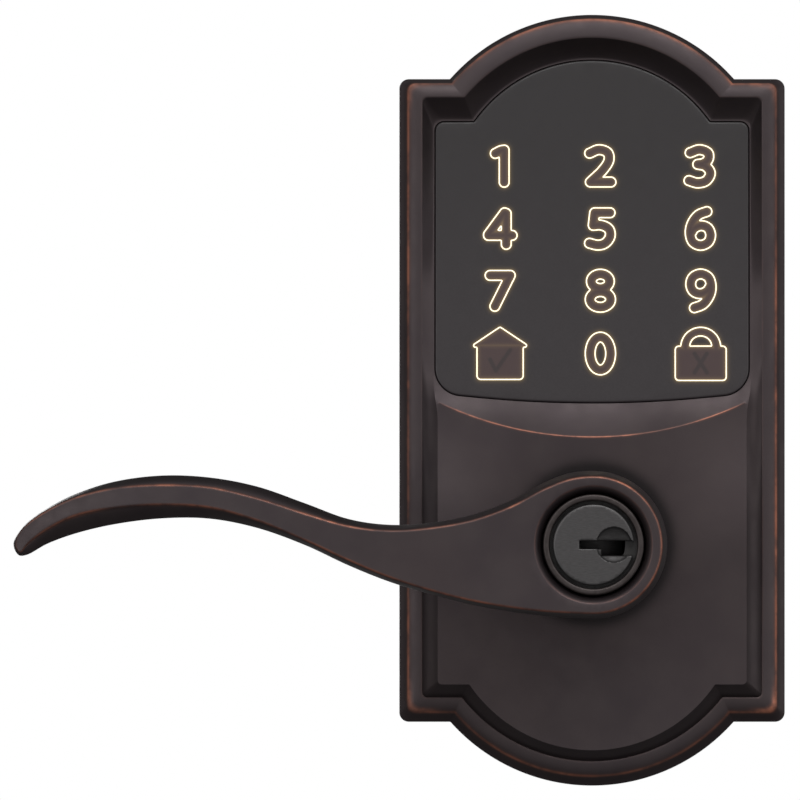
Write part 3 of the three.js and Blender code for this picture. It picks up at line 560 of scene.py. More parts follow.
def arched(side, top, foot, fillet=0.3):
    """The plate's outline, drawn in by an inset of its own at each stretch.

    top and foot each give the insets of arch and shoulder and the corner's radius; fillet rounds
    the inward corner between arch and shoulder.
    """
    half = HALF_WIDTH - side
    ends = []
    for sign, centre, level, (arch, shoulder, corner) in (
        (1, ARCH_TOP, SHOULDER_TOP, top),
        (-1, ARCH_FOOT, SHOULDER_FOOT, foot),
    ):
        radius = ARCH - arch
        lift = (level - centre) * sign - shoulder
        out = math.sqrt((radius + fillet) ** 2 - (lift + fillet) ** 2)
        lean = math.atan2(lift + fillet, out)
        crown = arc(0, 0, radius, math.pi / 2, math.pi - lean, ARCH_STEPS)
        joint = arc(-out, lift + fillet, fillet, -lean, -math.pi / 2, 6)[1:]
        run = line((-out, lift), (corner - half, lift), 6)
        turn_down = arc(corner - half, lift - corner, corner, math.pi / 2, math.pi, 8)
        left = crown + joint + run + turn_down
        right = [(-x, z) for x, z in left[1:]][::-1]
        ends.append([(x * sign, centre + z * sign) for x, z in right + left])
    upper, lower = ends
    left_side = line(upper[-1], lower[0], SIDE_STEPS)
    right_side = line(lower[-1], upper[0], SIDE_STEPS)
    return np.array(upper + left_side + lower + right_side)


def evenly(inset, corner):
    """The plate's outline drawn in by one inset all round."""
    return arched(inset, (inset, inset, corner), (inset, inset, corner))


def between(a, b, t):
    """Insets part of the way from one set to another."""
    return tuple(between(p, q, t) if isinstance(p, tuple) else lerp(p, q, t) for p, q in zip(a, b))


# Insets of the rim's outer edge, of its inner brink and of the tongue's lip, from the outline:
# side, (top arch, top shoulder, corner radius), (foot arch, foot shoulder, corner radius).
RIM_EDGE = (1.75, (0.85, 0.9, 1.7), (1.95, 1.95, 1.7))
BRINK = (4.85, (4.85, 3.9, 1.2), (5.2, 5.2, 1.0))
LIP = (7.2, (9.1, 8.5, 2.0), (7.5, 7.9, 0.9))


def lens_outline(inset, corner=5.7):
    """The lens's outline drawn in by an inset: arched top, and a foot that bows down."""
    half = LENS_SIDE - inset
    radius = LENS_ARCH - inset
    shoulder = LENS_SHOULDER - inset
    upper = max(1.9 - inset, 0.3)
    lower = corner - inset
    foot = LENS_FOOT + inset
    bow = 1.5
    lift = shoulder - ARCH_TOP
    lean = math.asin(lift / radius)
    crown = arc(0, ARCH_TOP, radius, math.pi / 2, math.pi - lean, 28)
    run = line(crown[-1], (upper - half, shoulder), 5)
    turn_down = arc(upper - half, shoulder - upper, upper, math.pi / 2, math.pi, 6)
    turn_in = arc(lower - half, foot + bow + lower, lower, math.pi, math.pi * 1.5 - 0.1, 12)
    side = line(turn_down[-1], turn_in[0], 30)
    sag = [
        (x, foot + bow * (x / (half - lower)) ** 2)
        for x in np.linspace(lower - half, 0, 16)[1:]
    ]
    left = crown + run + turn_down + side + turn_in + sag
    right = [(-x, z) for x, z in left[1:-1]][::-1]
    return np.array(left + right)


def lens_plane(z):
    return LENS_MID_Y + (z - LENS_MID_Z) * math.tan(LENS_LEAN)


def lens_foot_line(x):
    """Height of the lens's lower edge at x."""
    half = LENS_SIDE - 5.7
    outer = np.clip((np.abs(x) - half) / 5.7, 0, 0.97)
    return LENS_FOOT + 1.5 * np.minimum(np.abs(x) / half, 1) ** 2 + 5.7 * (1 - np.sqrt(1 - outer ** 2))


def tongue(x, z):
    """Front surface inside the rim: lens plane, scoop, crease, then the lower panel."""
    rho = np.hypot(x, z - CREASE_Z)
    foot = lens_foot_line(x)
    start = np.hypot(x, foot - CREASE_Z)
    crease = PANEL + 2.3 * ease((np.abs(x) - 12) / 20.5)
    t = np.clip((rho - start) / np.maximum(CREASE - start, 0.4), 0, 1)
    scoop = lerp(lens_plane(foot), crease, 0.6 * t + 0.4 * t ** 1.6)
    panel = lerp(crease, PANEL, ease((rho - CREASE) / 28)) + 0.15 * ease((rho - CREASE) / 60)
    return np.where(rho >= CREASE, panel, np.where(z > foot, lens_plane(z), scoop))


def boss(x, z, y):
    """The low round boss that the lever's bearing comes through."""
    r = np.hypot(x, z)
    return y - 1.1 * ease((BOSS - r) / 0.9)


def front_surface(x, z):
    return boss(x, z, tongue(x, z))


def below(loop, level):
    """The part of a loop under a level, closed straight across at that level."""
    kept = loop[:, 1] < level
    first = np.flatnonzero(kept & ~np.roll(kept, 1))[0]
    part = np.roll(loop, -first, axis=0)[: kept.sum()]
    return np.vstack([(part[0, 0], level), part, (part[-1, 0], level)])


def escutcheon():
    skin = Skin()
    rings = []

    # Inner wall, back edge and outer side, from the inside out.
    for inset, y in ((WALL, HOLLOW_FRONT), (WALL, SHELL_BACK - 0.4), (WALL - 0.2, SHELL_BACK),
                     (0.3, SHELL_BACK), (0.0, SHELL_BACK - 0.4), (0.0, -8.0), (0.0, -15.2)):
        rings.append(skin.ring(evenly(inset, 2.0 if inset < 2 else 0.8), y))
    # Outer bevel, slightly hollow, up to the rim's worn edge. It is wider at the foot.
    for t, worn in ((0.06, 0.0), (0.2, 0.0), (0.4, 0.0), (0.6, 0.0), (0.8, 0.05), (0.9, 0.25), (0.96, 0.8)):
        hollow = t - 0.1 * math.sin(math.pi * t)
        loop = arched(*between((0.0, (0.0, 0.0, 2.0), (0.0, 0.0, 2.0)), RIM_EDGE, t))
        rings.append(skin.ring(loop, lerp(-15.4, RIM + 0.75, hollow), worn * rim_wear(loop)[0]))
    # Rim: from its worn outer edge in to the brink of the recess. The wear widens at the corners.
    for t, drop, worn, corner in ((0.0, 0.72, 1.0, 0.2), (0.035, 0.64, 1.0, 0.3), (0.075, 0.57, 0.7, 0.5),
                                  (0.12, 0.5, 0.25, 0.8), (0.19, 0.41, 0.05, 0.8), (0.3, 0.3, 0.0, 0.25),
                                  (0.42, 0.2, 0.0, 0.0), (0.6, 0.1, 0.0, 0.0), (0.86, 0.0, 0.0, 0.0),
                                  (0.97, 0.01, 0.05, 0.0), (1.0, 0.06, 0.0, 0.0)):
        loop = arched(*between(RIM_EDGE, BRINK, t))
        line_wear, patch_wear = rim_wear(loop)
        rings.append(skin.ring(loop, RIM + drop, worn * line_wear + corner * patch_wear))
    # Band between the rim and the tongue: a cove round the lens, a step round the panel.
    brink = arched(*BRINK)
    lip = arched(*LIP)
    upper = ease((lip[:, 1] - 30) / 14)
    lip[:, 0] *= lerp(32.4 / 33.25, 1.0, ease((lip[:, 1] - 26) / 8))
    lip_y = front_surface(lip[:, 0] * 0.985, lip[:, 1])
    for t in (0.03, 0.08, 0.18, 0.3, 0.42, 0.54, 0.66, 0.78, 0.88, 0.95, 1.0):
        cove = 1 - (1 - t) ** 1.3
        step = t ** 0.9 + 0.03 * math.sin(TAU * t)
        share = lerp(step, cove, upper)
        rings.append(skin.ring(lerp(brink, lip, t), lerp(RIM + 0.06, lip_y, share)))
    skin.chain(rings)

    # Lens pocket: its brink, its wall, and the ledge that the lens is glued over.
    pocket = []
    for inset, depth in ((-0.16, 0.0), (-0.12, 0.25), (-0.12, 3.1), (2.2, 3.1), (2.2, 4.4),
                         (1.2, 4.4)):
        loop = lens_outline(inset)
        pocket.append(skin.ring(loop, lens_plane(loop[:, 1]) + depth))
    inner = skin.ring(lens_outline(1.2), HOLLOW_FRONT)
    skin.chain([*pocket, inner])

    # Hollow under the panel: room for the clutch's motor, and deeper below it for the drive hub.
    lower = below(evenly(10.8, 0.8), HUB_ROOM_TOP)
    side = math.copysign(MOTOR_ROOM_SIDE, lower[-1, 0])
    upper_corners = [(side, HUB_ROOM_TOP), (side, MOTOR_ROOM_TOP),
                     (-side, MOTOR_ROOM_TOP), (-side, HUB_ROOM_TOP)]
    room = np.vstack([lower, *upper_corners])
    room_walls = [skin.ring(room, HOLLOW_FRONT), skin.ring(room, MOTOR_ROOM_FRONT)]
    deep = below(evenly(11.1, 0.8), HUB_ROOM_TOP - 0.3)
    deep_walls = [skin.ring(deep, MOTOR_ROOM_FRONT), skin.ring(deep, HUB_ROOM_FRONT)]
    skin.chain(room_walls)
    skin.chain(deep_walls)

    # Bosses for the screws of the back plate, each with its pilot hole.
    feet = []
    boss_back, pilot_end = -3.9, SCREW_END - 0.5
    for x in (-SCREW_X, SCREW_X):
        for z in SCREW_ZS:
            boss_rings = [
                skin.ring(circle_loop(x, z, radius), y)
                for radius, y in ((2.1, HOLLOW_FRONT), (2.1, boss_back), (PILOT, boss_back),
                                  (PILOT, pilot_end))
            ]
            skin.chain(boss_rings)
            skin.fill(boss_rings[-1], [], flat(pilot_end), 9.0)
            feet.append(boss_rings[0])

    # Bearing hole through the boss.
    top = front_surface(0.0, 0.0)
    bearing = [
        skin.ring(circle_loop(0, 0, radius, 96), y)
        for radius, y in ((BEARING + 0.4, top), (BEARING, top + 0.4), (BEARING, HUB_ROOM_FRONT))
    ]
    skin.chain(bearing)

    # The crease keeps its own rows of points, so that its worn line stays thin.
    chains = []
    for shift, worn in ((-0.5, 0.0), (-0.2, 0.05), (-0.07, 0.5), (0.05, 0.6), (0.17, 0.1),
                        (0.5, 0.0)):
        radius = CREASE + shift
        reach = math.asin(32.0 / radius)
        row = np.array(arc(0, CREASE_Z, radius, -math.pi / 2 - reach, -math.pi / 2 + reach, 120))
        faded = worn * ease((33 - np.abs(row[:, 0])) / 5)
        chains.append(skin.ring(row, front_surface(*row.T), faded))

    def near_boss(x, z):
        return np.abs(np.hypot(x, z) - BOSS - 1.5) < 3.5

    skin.fill(rings[-1], [pocket[0], bearing[0]], front_surface, 1.5, chains, (0.6, near_boss))
    skin.fill(rings[0], [inner, room_walls[0], *feet], flat(HOLLOW_FRONT), 9.0)
    skin.fill(room_walls[1], [deep_walls[0]], flat(MOTOR_ROOM_FRONT), 9.0)
    skin.fill(deep_walls[1], [bearing[-1]], flat(HUB_ROOM_FRONT), 9.0)
    x, y, z = np.array(skin.points).T
    # Painted shadow: a dark halo on the panel round the boss, where the lever's hub casts its shadow.
    dark = 0.95 * bell(np.maximum(np.hypot(x, z) - 15.9, 0), 1.8) * (y < -20)
    return skin.build("escutcheon_shell", "aged_bronze", "root", ("escutcheon",), crease=30, dark=dark)


def rim_wear(loop):
    """Wear of the rim's edge at each point: that of the line, and that of the corner patches."""
    x, z = loop.T
    patch = np.zeros(len(loop))
    for corner_x, corner_z, strength in (
        (HALF_WIDTH - 2.5, SHOULDER_TOP - 2, 0.3),
        (HALF_WIDTH - 2.5, SHOULDER_FOOT + 2.5, 1.0),
    ):
        patch += strength * bell(np.hypot(np.abs(x) - corner_x, z - corner_z), 3.4)
    upright = np.clip(1.15 - np.abs(z - 30) / 160, 0.5, 1)
    return 0.8 * upright, patch


escutcheon()


# ------------------------------------------------------------------ keypad

COLUMNS = (-19.3, 1.75, 22.8)
ROWS = (79.2, 66.1, 53.1, 39.9)
STROKE = 1.03  # half the width of a numeral's stroke
LINE = 0.34  # width of a lit line


def curve(*points):
    """A smooth stroke through its points."""
    first = 2 * np.array(points[0], float) - np.array(points[1], float)
    last = 2 * np.array(points[-1], float) - np.array(points[-2], float)
    return spline([first, *points, last], 8)


def oval(cx, cz, rx, rz):
    return np.array([(cx + rx * math.cos(a), cz + rz * math.sin(a)) for a in np.linspace(0, TAU, 49)])


SIX = [
    (1.33, 3.6), (-0.5, 2.85), (-1.85, 1.0), (-2.2, -1.0), (-1.6, -2.8), (0.0, -3.5), (1.6, -2.8),
    (2.1, -1.3), (1.5, 0.15), (0.1, 0.65), (-1.3, 0.1), (-2.15, -1.2),
]
STROKES = {
    "0": [oval(0, 0, 2.15, 3.45)],
    "1": [curve((-1.0, 2.7), (0.2, 3.3), (0.87, 3.42)), [(0.87, 3.42), (0.87, -3.35)]],
    "2": [
        curve((-2.25, 2.75), (-0.3, 3.5), (1.55, 2.85), (1.8, 1.3), (0.5, -0.8), (-2.1, -3.3)),
        [(-2.1, -3.3), (2.25, -3.3)],
    ],
    "3": [
        curve((-2.2, 2.85), (-0.2, 3.5), (1.6, 2.75), (1.55, 1.35), (0.5, 0.6), (-0.6, 0.42)),
        curve((-0.6, 0.42), (1.0, 0.05), (2.05, -1.4), (1.2, -3.0), (-0.6, -3.5), (-2.45, -3.0)),
    ],
    "4": [
        [(1.3, -3.3), (1.3, 3.2), (0.95, 3.35), (-2.45, -1.25), (-2.45, -1.4), (2.55, -1.4)],
    ],
    "5": [
        [(2.05, 3.35), (-1.2, 3.35), (-1.5, 0.75)],
        curve((-1.5, 0.7), (0.2, 0.75), (1.8, -0.1), (2.05, -1.6), (1.0, -3.05), (-0.5, -3.45),
              (-2.3, -3.05)),
    ],
    "6": [curve(*SIX)],
    "7": [[(-2.1, 3.2), (2.15, 3.2), (-1.1, -3.3)]],
    "8": [oval(0, 1.95, 1.9, 1.5), oval(0, -1.85, 2.15, 1.65)],
    "9": [curve(*((-x, -z) for x, z in SIX))],
}


def strokes_field(strokes, width):
    """Signed distance from the edge of a set of round strokes."""
    return lambda x, z: np.minimum.reduce([distance_to_path(x, z, s) for s in strokes]) - width


def box_field(cx, cz, half_x, half_z, corner):
    def field(x, z):
        dx = np.abs(x - cx) - half_x + corner
        dz = np.abs(z - cz) - half_z + corner
        return np.hypot(np.maximum(dx, 0), np.maximum(dz, 0)) + np.minimum(np.maximum(dx, dz), 0) - corner
    return field


def polygon_field(points, rounding):
    loop = np.array(points, float)
    closed = np.vstack([loop, loop[:1]])

    def field(x, z):
        away = distance_to_path(x, z, closed)
        return np.where(inside(x, z, loop), -away, away) - rounding
    return field


def house(x, z):
    roof = polygon_field([(0, 5.15), (-5.2, 1.68), (5.2, 1.68)], 0.36)
    walls = box_field(0, -1.68, 4.85, 3.77, 0.8)
    return np.minimum(roof(x, z), walls(x, z))


def padlock(x, z):
    body = box_field(0, -2.05, 5.35, 3.6, 0.75)
    shackle = np.hypot(x, z - 1.3) - 4.2
    opening = np.maximum(np.hypot(x, (z - 1.5) * 1.05) - 2.3, 1.55 - z)
    return np.maximum(np.minimum(body(x, z), shackle), -opening)


def no_mark(x, z):
    return np.full(np.shape(x), 9.0)


CHECK = strokes_field([[(-2.1, -1.25), (-0.9, -3.6), (2.15, 0.8)]], 0.42)
CROSS = strokes_field([[(-1.3, 0.0), (1.3, -4.0)], [(1.3, 0.0), (-1.3, -4.0)]], 0.42)


def numeral(text):
    return strokes_field(STROKES[text], STROKE)


GLYPHS = [
    (f"numeral_{text}", numeral(text), no_mark, COLUMNS[i % 3], ROWS[i // 3])
    for i, text in enumerate("123456789")
]
GLYPHS += [
    ("house_sign", house, CHECK, COLUMNS[0], ROWS[3]),
    ("numeral_0", numeral("0"), no_mark, COLUMNS[1], ROWS[3]),
    ("padlock_sign", padlock, CROSS, COLUMNS[2], ROWS[3]),
]


def contour_loops(field, level, half=6.8, step=0.085):
    """Closed lines where a field crosses a level, by marching over a square grid."""
    n = int(2 * half / step)
    axis = np.linspace(-half, half, n + 1)
    x, z = np.meshgrid(axis, axis, indexing="ij")
    value = field(x, z) - level
    value[value == 0] = 1e-9
    links = {}

    def crossing(i, j, k, m):
        a, b = value[i, j], value[k, m]
        t = a / (a - b)
        return (i, j, k, m), (lerp(axis[i], axis[k], t), lerp(axis[j], axis[m], t))

    places = {}
    low = value < 0
    mixed = low[:-1, :-1].astype(int) + low[1:, :-1] + low[:-1, 1:] + low[1:, 1:]
    for i, j in zip(*np.nonzero((mixed > 0) & (mixed < 4))):
        corners = [(i, j), (i + 1, j), (i + 1, j + 1), (i, j + 1)]
        hits = []
        for (a, b), (c, d) in zip(corners, corners[1:] + corners[:1]):
            if low[a, b] != low[c, d]:
                key, point = crossing(*min((a, b), (c, d)), *max((a, b), (c, d)))
                places[key] = point
                hits.append(key)
        for first, second in zip(hits[::2], hits[1::2]):
            links.setdefault(first, []).append(second)
            links.setdefault(second, []).append(first)
    loops = []
    left = set(links)
    while left:
        start = min(left)
        loop, last, here = [start], None, start
        left.discard(start)
        while True:
            ahead = [k for k in links[here] if k != last and (k in left or k == start)]
            if not ahead or ahead[0] == start:
                break
            last, here = here, ahead[0]
            left.discard(here)
            loop.append(here)
        if len(loop) > 6:
            loops.append(smooth_loop(np.array([places[k] for k in loop])))
    return loops


def smooth_loop(loop, rounds=3):
    """Evens out the spacing and the small steps of a marched line."""
    for _ in range(rounds):
        loop = 0.25 * np.roll(loop, 1, axis=0) + 0.5 * loop + 0.25 * np.roll(loop, -1, axis=0)
    return loop[::2]


def lit_glyph(name, field, column, row):
    """A thin raised line along the glyph's edge, a hair proud of the lens."""
    skin = Skin()
    half, bevel = LINE / 2, 0.05
    for loop in contour_loops(field, 0.0):
        sides = []
        for shift, proud in ((-half, 0.0), (-half + bevel, bevel), (half - bevel, bevel), (half, 0.0)):
            shifted = offset(loop, shift) + (column, row)
            sides.append(skin.ring(shifted, lens_plane(shifted[:, 1]) + 0.02 - proud))
        skin.chain(sides)
        skin.bridge(sides[-1], sides[0])
    skin.build(name, "light_guide", "root", crease=80, material=LIT)


def keypad_lens():
    skin = Skin()
    rings = []
    for inset, depth in ((0.35, 2.0), (0.0, 1.8), (0.0, 0.3), (0.06, 0.1), (0.2, 0.0), (0.5, -0.02)):
        loop = lens_outline(inset)
        rings.append(skin.ring(loop, lens_plane(loop[:, 1]) + depth))
    skin.chain(rings)

    def near_glyph(x, z):
        hit = np.zeros(len(x), bool)
        for _, field, _, column, row in GLYPHS:
            close = (np.abs(x - column) < 7.4) & (np.abs(z - row) < 7.4)
            hit[close] |= field(x[close] - column, z[close] - row) < 1.3
        return hit

    skin.fill(rings[-1], [], lambda x, z: lens_plane(z) - 0.02, 1.6, finer=(0.22, near_glyph))
    skin.fill(rings[0], [], lambda x, z: lens_plane(z) + 2.0, 9.0)
    x, y, z = np.array(skin.points).T
    front = y < lens_plane(z) + 0.05
    layers = {key: np.zeros(len(x)) for key in ("glow", "filled", "marked")}
    for _, field, mark, column, row in GLYPHS:
        close = front & (np.abs(x - column) < 8) & (np.abs(z - row) < 8)
        edge = field(x[close] - column, z[close] - row)
        halo = 0.42 * bell(edge, 0.3) + 0.16 * bell(edge, 0.7)
        layers["glow"][close] = np.maximum(layers["glow"][close], halo)
        layers["filled"][close] = np.maximum(layers["filled"][close], ease(0.5 - edge / 0.3))
        marks = mark(x[close] - column, z[close] - row)
        layers["marked"][close] = np.maximum(layers["marked"][close], ease(0.5 - marks / 0.4))
    skin.build("lens_plate", "smoked_lens", "root", ("keypad_lens",), crease=40, **layers)


keypad_lens()
for name, field, _, column, row in GLYPHS:
    lit_glyph(name, field, column, row)


# ------------------------------------------------------------------ lever

# Stations along the lever: x, then the heights of the upper edge, the upper ridge, the lower ridge
# and the lower edge, seen from the front.
STATIONS = [
    (-4.6, 15.0, 13.75, -14.2, -15.25),
    (-10.0, 13.05, 11.75, -13.9, -14.9),
    (-17.0, 9.3, 8.1, -13.1, -14.0),
    (-25.0, 6.3, 5.2, -11.75, -12.6),
    (-34.0, 4.55, 3.55, -9.5, -10.3),
    (-42.5, 4.15, 3.0, -6.8, -7.75),
    (-51.0, 5.35, 3.95, -3.3, -4.35),
    (-60.0, 8.6, 6.5, 0.85, -0.15),
    (-70.0, 12.1, 9.7, 5.0, 3.45),
    (-80.0, 14.0, 12.0, 7.7, 5.4),
    (-90.0, 14.4, 12.5, 8.3, 5.45),
    (-100.0, 13.1, 11.8, 7.6, 4.2),
    (-108.0, 10.55, 9.85, 6.0, 2.3),
    (-114.0, 7.5, 7.1, 3.1, 0.1),
    (-118.0, 4.6, 4.25, 0.1, -2.1),
]
TIP = [(-120.2, 2.0), (-120.95, 0.2), (-120.6, -1.3), (-119.7, -2.3)]
RIDGE_TIP = [(-119.9, 2.0), (-120.45, 0.4), (-120.35, -0.7), (-119.5, -1.6)]
PER_STATION = 8


def lever_outline(edge_radius, upper, lower, tip, foot_radius):
    """The lever's closed outline: hub round the right, arm to the left."""
    near_lean, far_lean = math.radians(5), math.radians(20)
    hub_top = [(edge_radius * math.sin(a), edge_radius * math.cos(a)) for a in (far_lean, near_lean)]
    hub_foot = [(foot_radius * math.sin(a), -foot_radius * math.cos(a)) for a in (near_lean, far_lean)]
    top = [(s[0], s[upper]) for s in STATIONS]
    bottom = [(s[0], s[lower]) for s in STATIONS[::-1]]
    arm = spline([*hub_top, *top, *tip, *bottom, *hub_foot], PER_STATION)
    start = math.atan2(arm[0][1], arm[0][0])
    end = math.atan2(arm[-1][1], arm[-1][0])
    steps = 60
    around = [
        (lerp(foot_radius, edge_radius, ease(k / steps)) * math.cos(lerp(end, start, k / steps)),
         lerp(foot_radius, edge_radius, ease(k / steps)) * math.sin(lerp(end, start, k / steps)))
        for k in range(1, steps)
    ]
    return np.vstack([arm, around])


def lever_sweep(x):
    """How far the front face has swept back towards the door at x."""
    along = np.clip((-x - 16) / (-LEVER_TIP - 16), 0, 1)
    return LEVER_FRONT + 12 * along ** 2


def lever_thickness(x):
    along = np.clip((-x - 4) / (-LEVER_TIP - 4), 0, 1)
    return 17.5 - 9.0 * along ** 0.55


def lever():
    skin = Skin()
    edge = lever_outline(HUB, 1, 4, TIP, HUB + 0.1)
    ridge = lever_outline(HUB_EDGE, 2, 3, RIDGE_TIP, HUB_EDGE + 0.1)
    front = lever_sweep(ridge[:, 0])
    depth = lever_thickness(edge[:, 0])
    tip = ease((edge[:, 0] - LEVER_TIP) / 9)
    depth = depth * lerp(0.42, 1.0, tip)
    flank = np.clip(0.3 * depth, 0.8, 4.6)
    worn = 0.62 + 0.2 * np.sin(ridge[:, 0] * 0.21)

    rings = []
    # Flat front band, its rounded and worn ridge, and the bevel to the widest line.
    slim = lerp(0.35, 1.0, ease((ridge[:, 0] - LEVER_TIP) / 7))[:, None]
    for inset, drop, wear in ((0.62, 0.0, 0.0), (0.42, 0.0, 0.05), (0.26, 0.015, 0.45), (0.12, 0.07, 1.0),
                              (0.0, 0.16, 0.9), (-0.1, 0.3, 0.3)):
        loop = offset(ridge, inset * slim)
        rings.append(skin.ring(loop, front + drop, wear * worn))
    for t in (0.15, 0.35, 0.6, 0.82, 1.0):
        loop = lerp(offset(ridge, -0.1), edge, t)
        drop = 0.3 + (flank - 0.3) * (1 - math.cos(t * math.pi / 2)) * 0.55 + (flank - 0.3) * 0.45 * t
        rings.append(skin.ring(loop, front + drop))
    # Round the back: in towards the middle line of the arm and towards the neck at the hub.
    arm_middle = np.column_stack([edge[:, 0], middle_height(edge[:, 0])])
    toward_hub = ease((edge[:, 0] + 40) / 24)[:, None]
    target = lerp(lerp(edge, arm_middle, 0.72), edge * 0.87, toward_hub)
    target[:, 0] += 2.2 * (1 - tip) * (1 - toward_hub[:, 0])
    for t in (0.12, 0.28, 0.45, 0.62, 0.78, 0.9, 1.0):
        angle = t * math.pi / 2
        loop = lerp(edge, target, 1 - math.cos(angle))
        rings.append(skin.ring(loop, front + flank + (depth - flank) * math.sin(angle)))
    skin.chain(rings)

    # Neck, from the back of the arm to its foot, then the bores and the cove at the front.
    sides = 96
    neck_top = LEVER_FRONT + 17.5
    profile = [
        (12.35, neck_top, 0), (12.15, neck_top + 1.2, 0), (12.0, neck_top + 3.5, 0), (11.9, -40, 0),
        (11.9, LEVER_BACK - 3.4, 0), (12.3, LEVER_BACK - 3.0, 0.1), (12.3, LEVER_BACK - 0.4, 0.3),
        (11.9, LEVER_BACK, 0.2), (9.35, LEVER_BACK, 0), (9.35, -44.7, 0), (10.85, -44.7, 0),
        (10.85, LEVER_FRONT + 2.3, 0), (11.0, LEVER_FRONT + 1.7, 0), (11.4, LEVER_FRONT + 0.9, 0),
        (11.9, LEVER_FRONT + 0.3, 0), (12.25, LEVER_FRONT + 0.06, 0.1), (12.5, LEVER_FRONT, 0.0),
    ]
    bore = [skin.ring(circle_loop(0, 0, radius, sides), y, wear) for radius, y, wear in profile]
    skin.chain(bore)

    skin.fill(rings[0], [bore[-1]], lambda x, z: lever_sweep(x), 1.5)
    skin.fill(rings[-1], [bore[0]], lambda x, z: lever_back(x), 1.6)
    # Painted shade: the upper flank of the arm is darkened, more so away from the hub.
    dark = np.zeros(len(skin.points))
    for ring, share in zip(rings[6:], (0.1, 0.3, 0.5, 0.6, 0.6, 0.6, 0.5, 0.3)):
        upper = ease((edge[:, 1] - middle_height(edge[:, 0])) / 3)
        dark[ring] = share * upper * ease((-6 - edge[:, 0]) / 12)
    return skin.build("lever_grip", "aged_bronze", "lever", ("lever_handle",), crease=44, dark=dark)


def middle_height(x):
    xs = [s[0] for s in STATIONS[::-1]]
    zs = [(s[1] + s[4]) / 2 for s in STATIONS[::-1]]
    return np.interp(x, [LEVER_TIP, *xs, 0.0], [0.0, *zs, 0.0])


def lever_back(x):
    tip = ease((x - LEVER_TIP) / 9)
    return lever_sweep(x) + lever_thickness(x) * lerp(0.42, 1.0, tip)


lever()


# ------------------------------------------------------------------ cylinder and round parts

SLOT_HIGH = 0.83
SLOT_LOW = -2.25
RECESS_X = 4.25
RECESS = 3.7


def slotted(radius):
    """Round outline with the stepped keyway open at its right side."""
    upper = math.asin(SLOT_HIGH / radius)
    lower = math.asin(SLOT_LOW / radius)
    corners = [
        (radius * math.cos(lower), SLOT_LOW), (1.7, SLOT_LOW), (1.7, -SLOT_HIGH), (-2.9, -SLOT_HIGH),
        (-2.9, SLOT_HIGH), (radius * math.cos(upper), SLOT_HIGH),
    ]
    loop = arc(0, 0, radius, upper, TAU + lower, 90)[:-1]
    for a, b in zip(corners, corners[1:]):
        loop += [a, *line(a, b, max(2, int(math.dist(a, b) / 0.35)))]
    return np.array(loop)


def dished(x, z):
    """How deep the round recess at the keyway's outer end is at x, z."""
    r = np.hypot(x - RECESS_X, z) / RECESS
    return 1.7 * np.sqrt(np.clip(1 - r, 0, 1))


def key_plug():
    front, back = front_and_back("key_plug")
    face_back, barrel_end = front + 3.1, back - 1.9
    skin = Skin()
    face = slotted(8.42)
    rings = []
    for inset, drop in ((0.1, 3.1), (0.0, 3.0), (0.0, 0.25), (0.06, 0.08), (0.16, 0.0)):
        loop = offset(face, inset)
        rings.append(skin.ring(loop, front + drop + (dished(*loop.T) if drop < 2 else 0)))
    skin.chain(rings)

    def near_recess(x, z):
        return np.abs(np.hypot(x - RECESS_X, z) - RECESS) < 0.7

    skin.fill(rings[-1], [], lambda x, z: front + dished(x, z), 0.6, finer=(0.17, near_recess))
    skin.fill(rings[0], [], flat(face_back), 2.0)
    barrel = slotted(6.35)
    walls = [skin.ring(barrel, face_back), skin.ring(barrel, barrel_end)]
    skin.chain(walls)
    for ring, y in zip(walls, (face_back, barrel_end)):
        skin.fill(ring, [], flat(y), 3.0)
    skin.build("plug_face", "black_nickel", "key_plug", ("key_plug",), crease=50)
    end = [(6.1, barrel_end), (6.35, back - 1.8), (6.35, back - 0.3), (6.1, back)]
    turn(end, 48).build("plug_end", "black_nickel", "key_plug")


def collar_ring():
    front, back = front_and_back("cylinder_collar")
    profile = [(9.16, back), (9.16, front), (10.55, front), (10.55, back), (9.16, back)]
    turn(rounded(profile, 0.45), 112, closed=True).build(
        "collar_ring", "aged_bronze", "lever", ("cylinder_collar",), 50, COLLAR)


def neck_bushing():
    front, back = front_and_back("lever_bushing")
    inside_radius, sleeve, flange, flange_front = 9.3, 12.2, 15, -18.7
    profile = [(inside_radius, back), (inside_radius, front), (sleeve, front), (sleeve, flange_front),
               (flange, flange_front), (flange, back), (inside_radius, back)]
    turn(rounded(profile, 0.4), 96, closed=True).build(
        "neck_bushing", "black_plastic", "root", ("lever_bushing",), 50)


def outlet_grommet():
    front, back = front_and_back("cable_grommet")
    bore, waist, lip = 3.1, 3.9, 5.2
    profile = [(bore, front), (lip, front), (lip, front + 0.9), (waist, front + 0.9), (waist, back - 1),
               (lip, back - 1), (lip, back), (bore, back), (bore, front)]
    turn(rounded(profile, 0.5, 5), 48, middle("cable_grommet"), True).build(
        "outlet_grommet", "rubber", "root", ("cable_grommet",), 60)


def mounting_post(side, label):
    """Post riveted into the back plate, with a blind bore in its far end for the through bolt."""
    node = f"mounting_post_{label}"
    head, tail = front_and_back(node)
    profile = [(2.9, head), (3.6, head + 0.5), (3.6, head + 1), (2.5, head + 1), (2.5, -1.7), (4, -1.7),
               (4, tail), (2.3, tail), (1.9, tail - 0.4), (1.9, tail - 15.6), (1.2, tail - 16)]
    turn(rounded(profile, 0.35), 48, (side * POST_X, 0)).build(
        f"post_{label}", "steel", "root", (node,), 40)


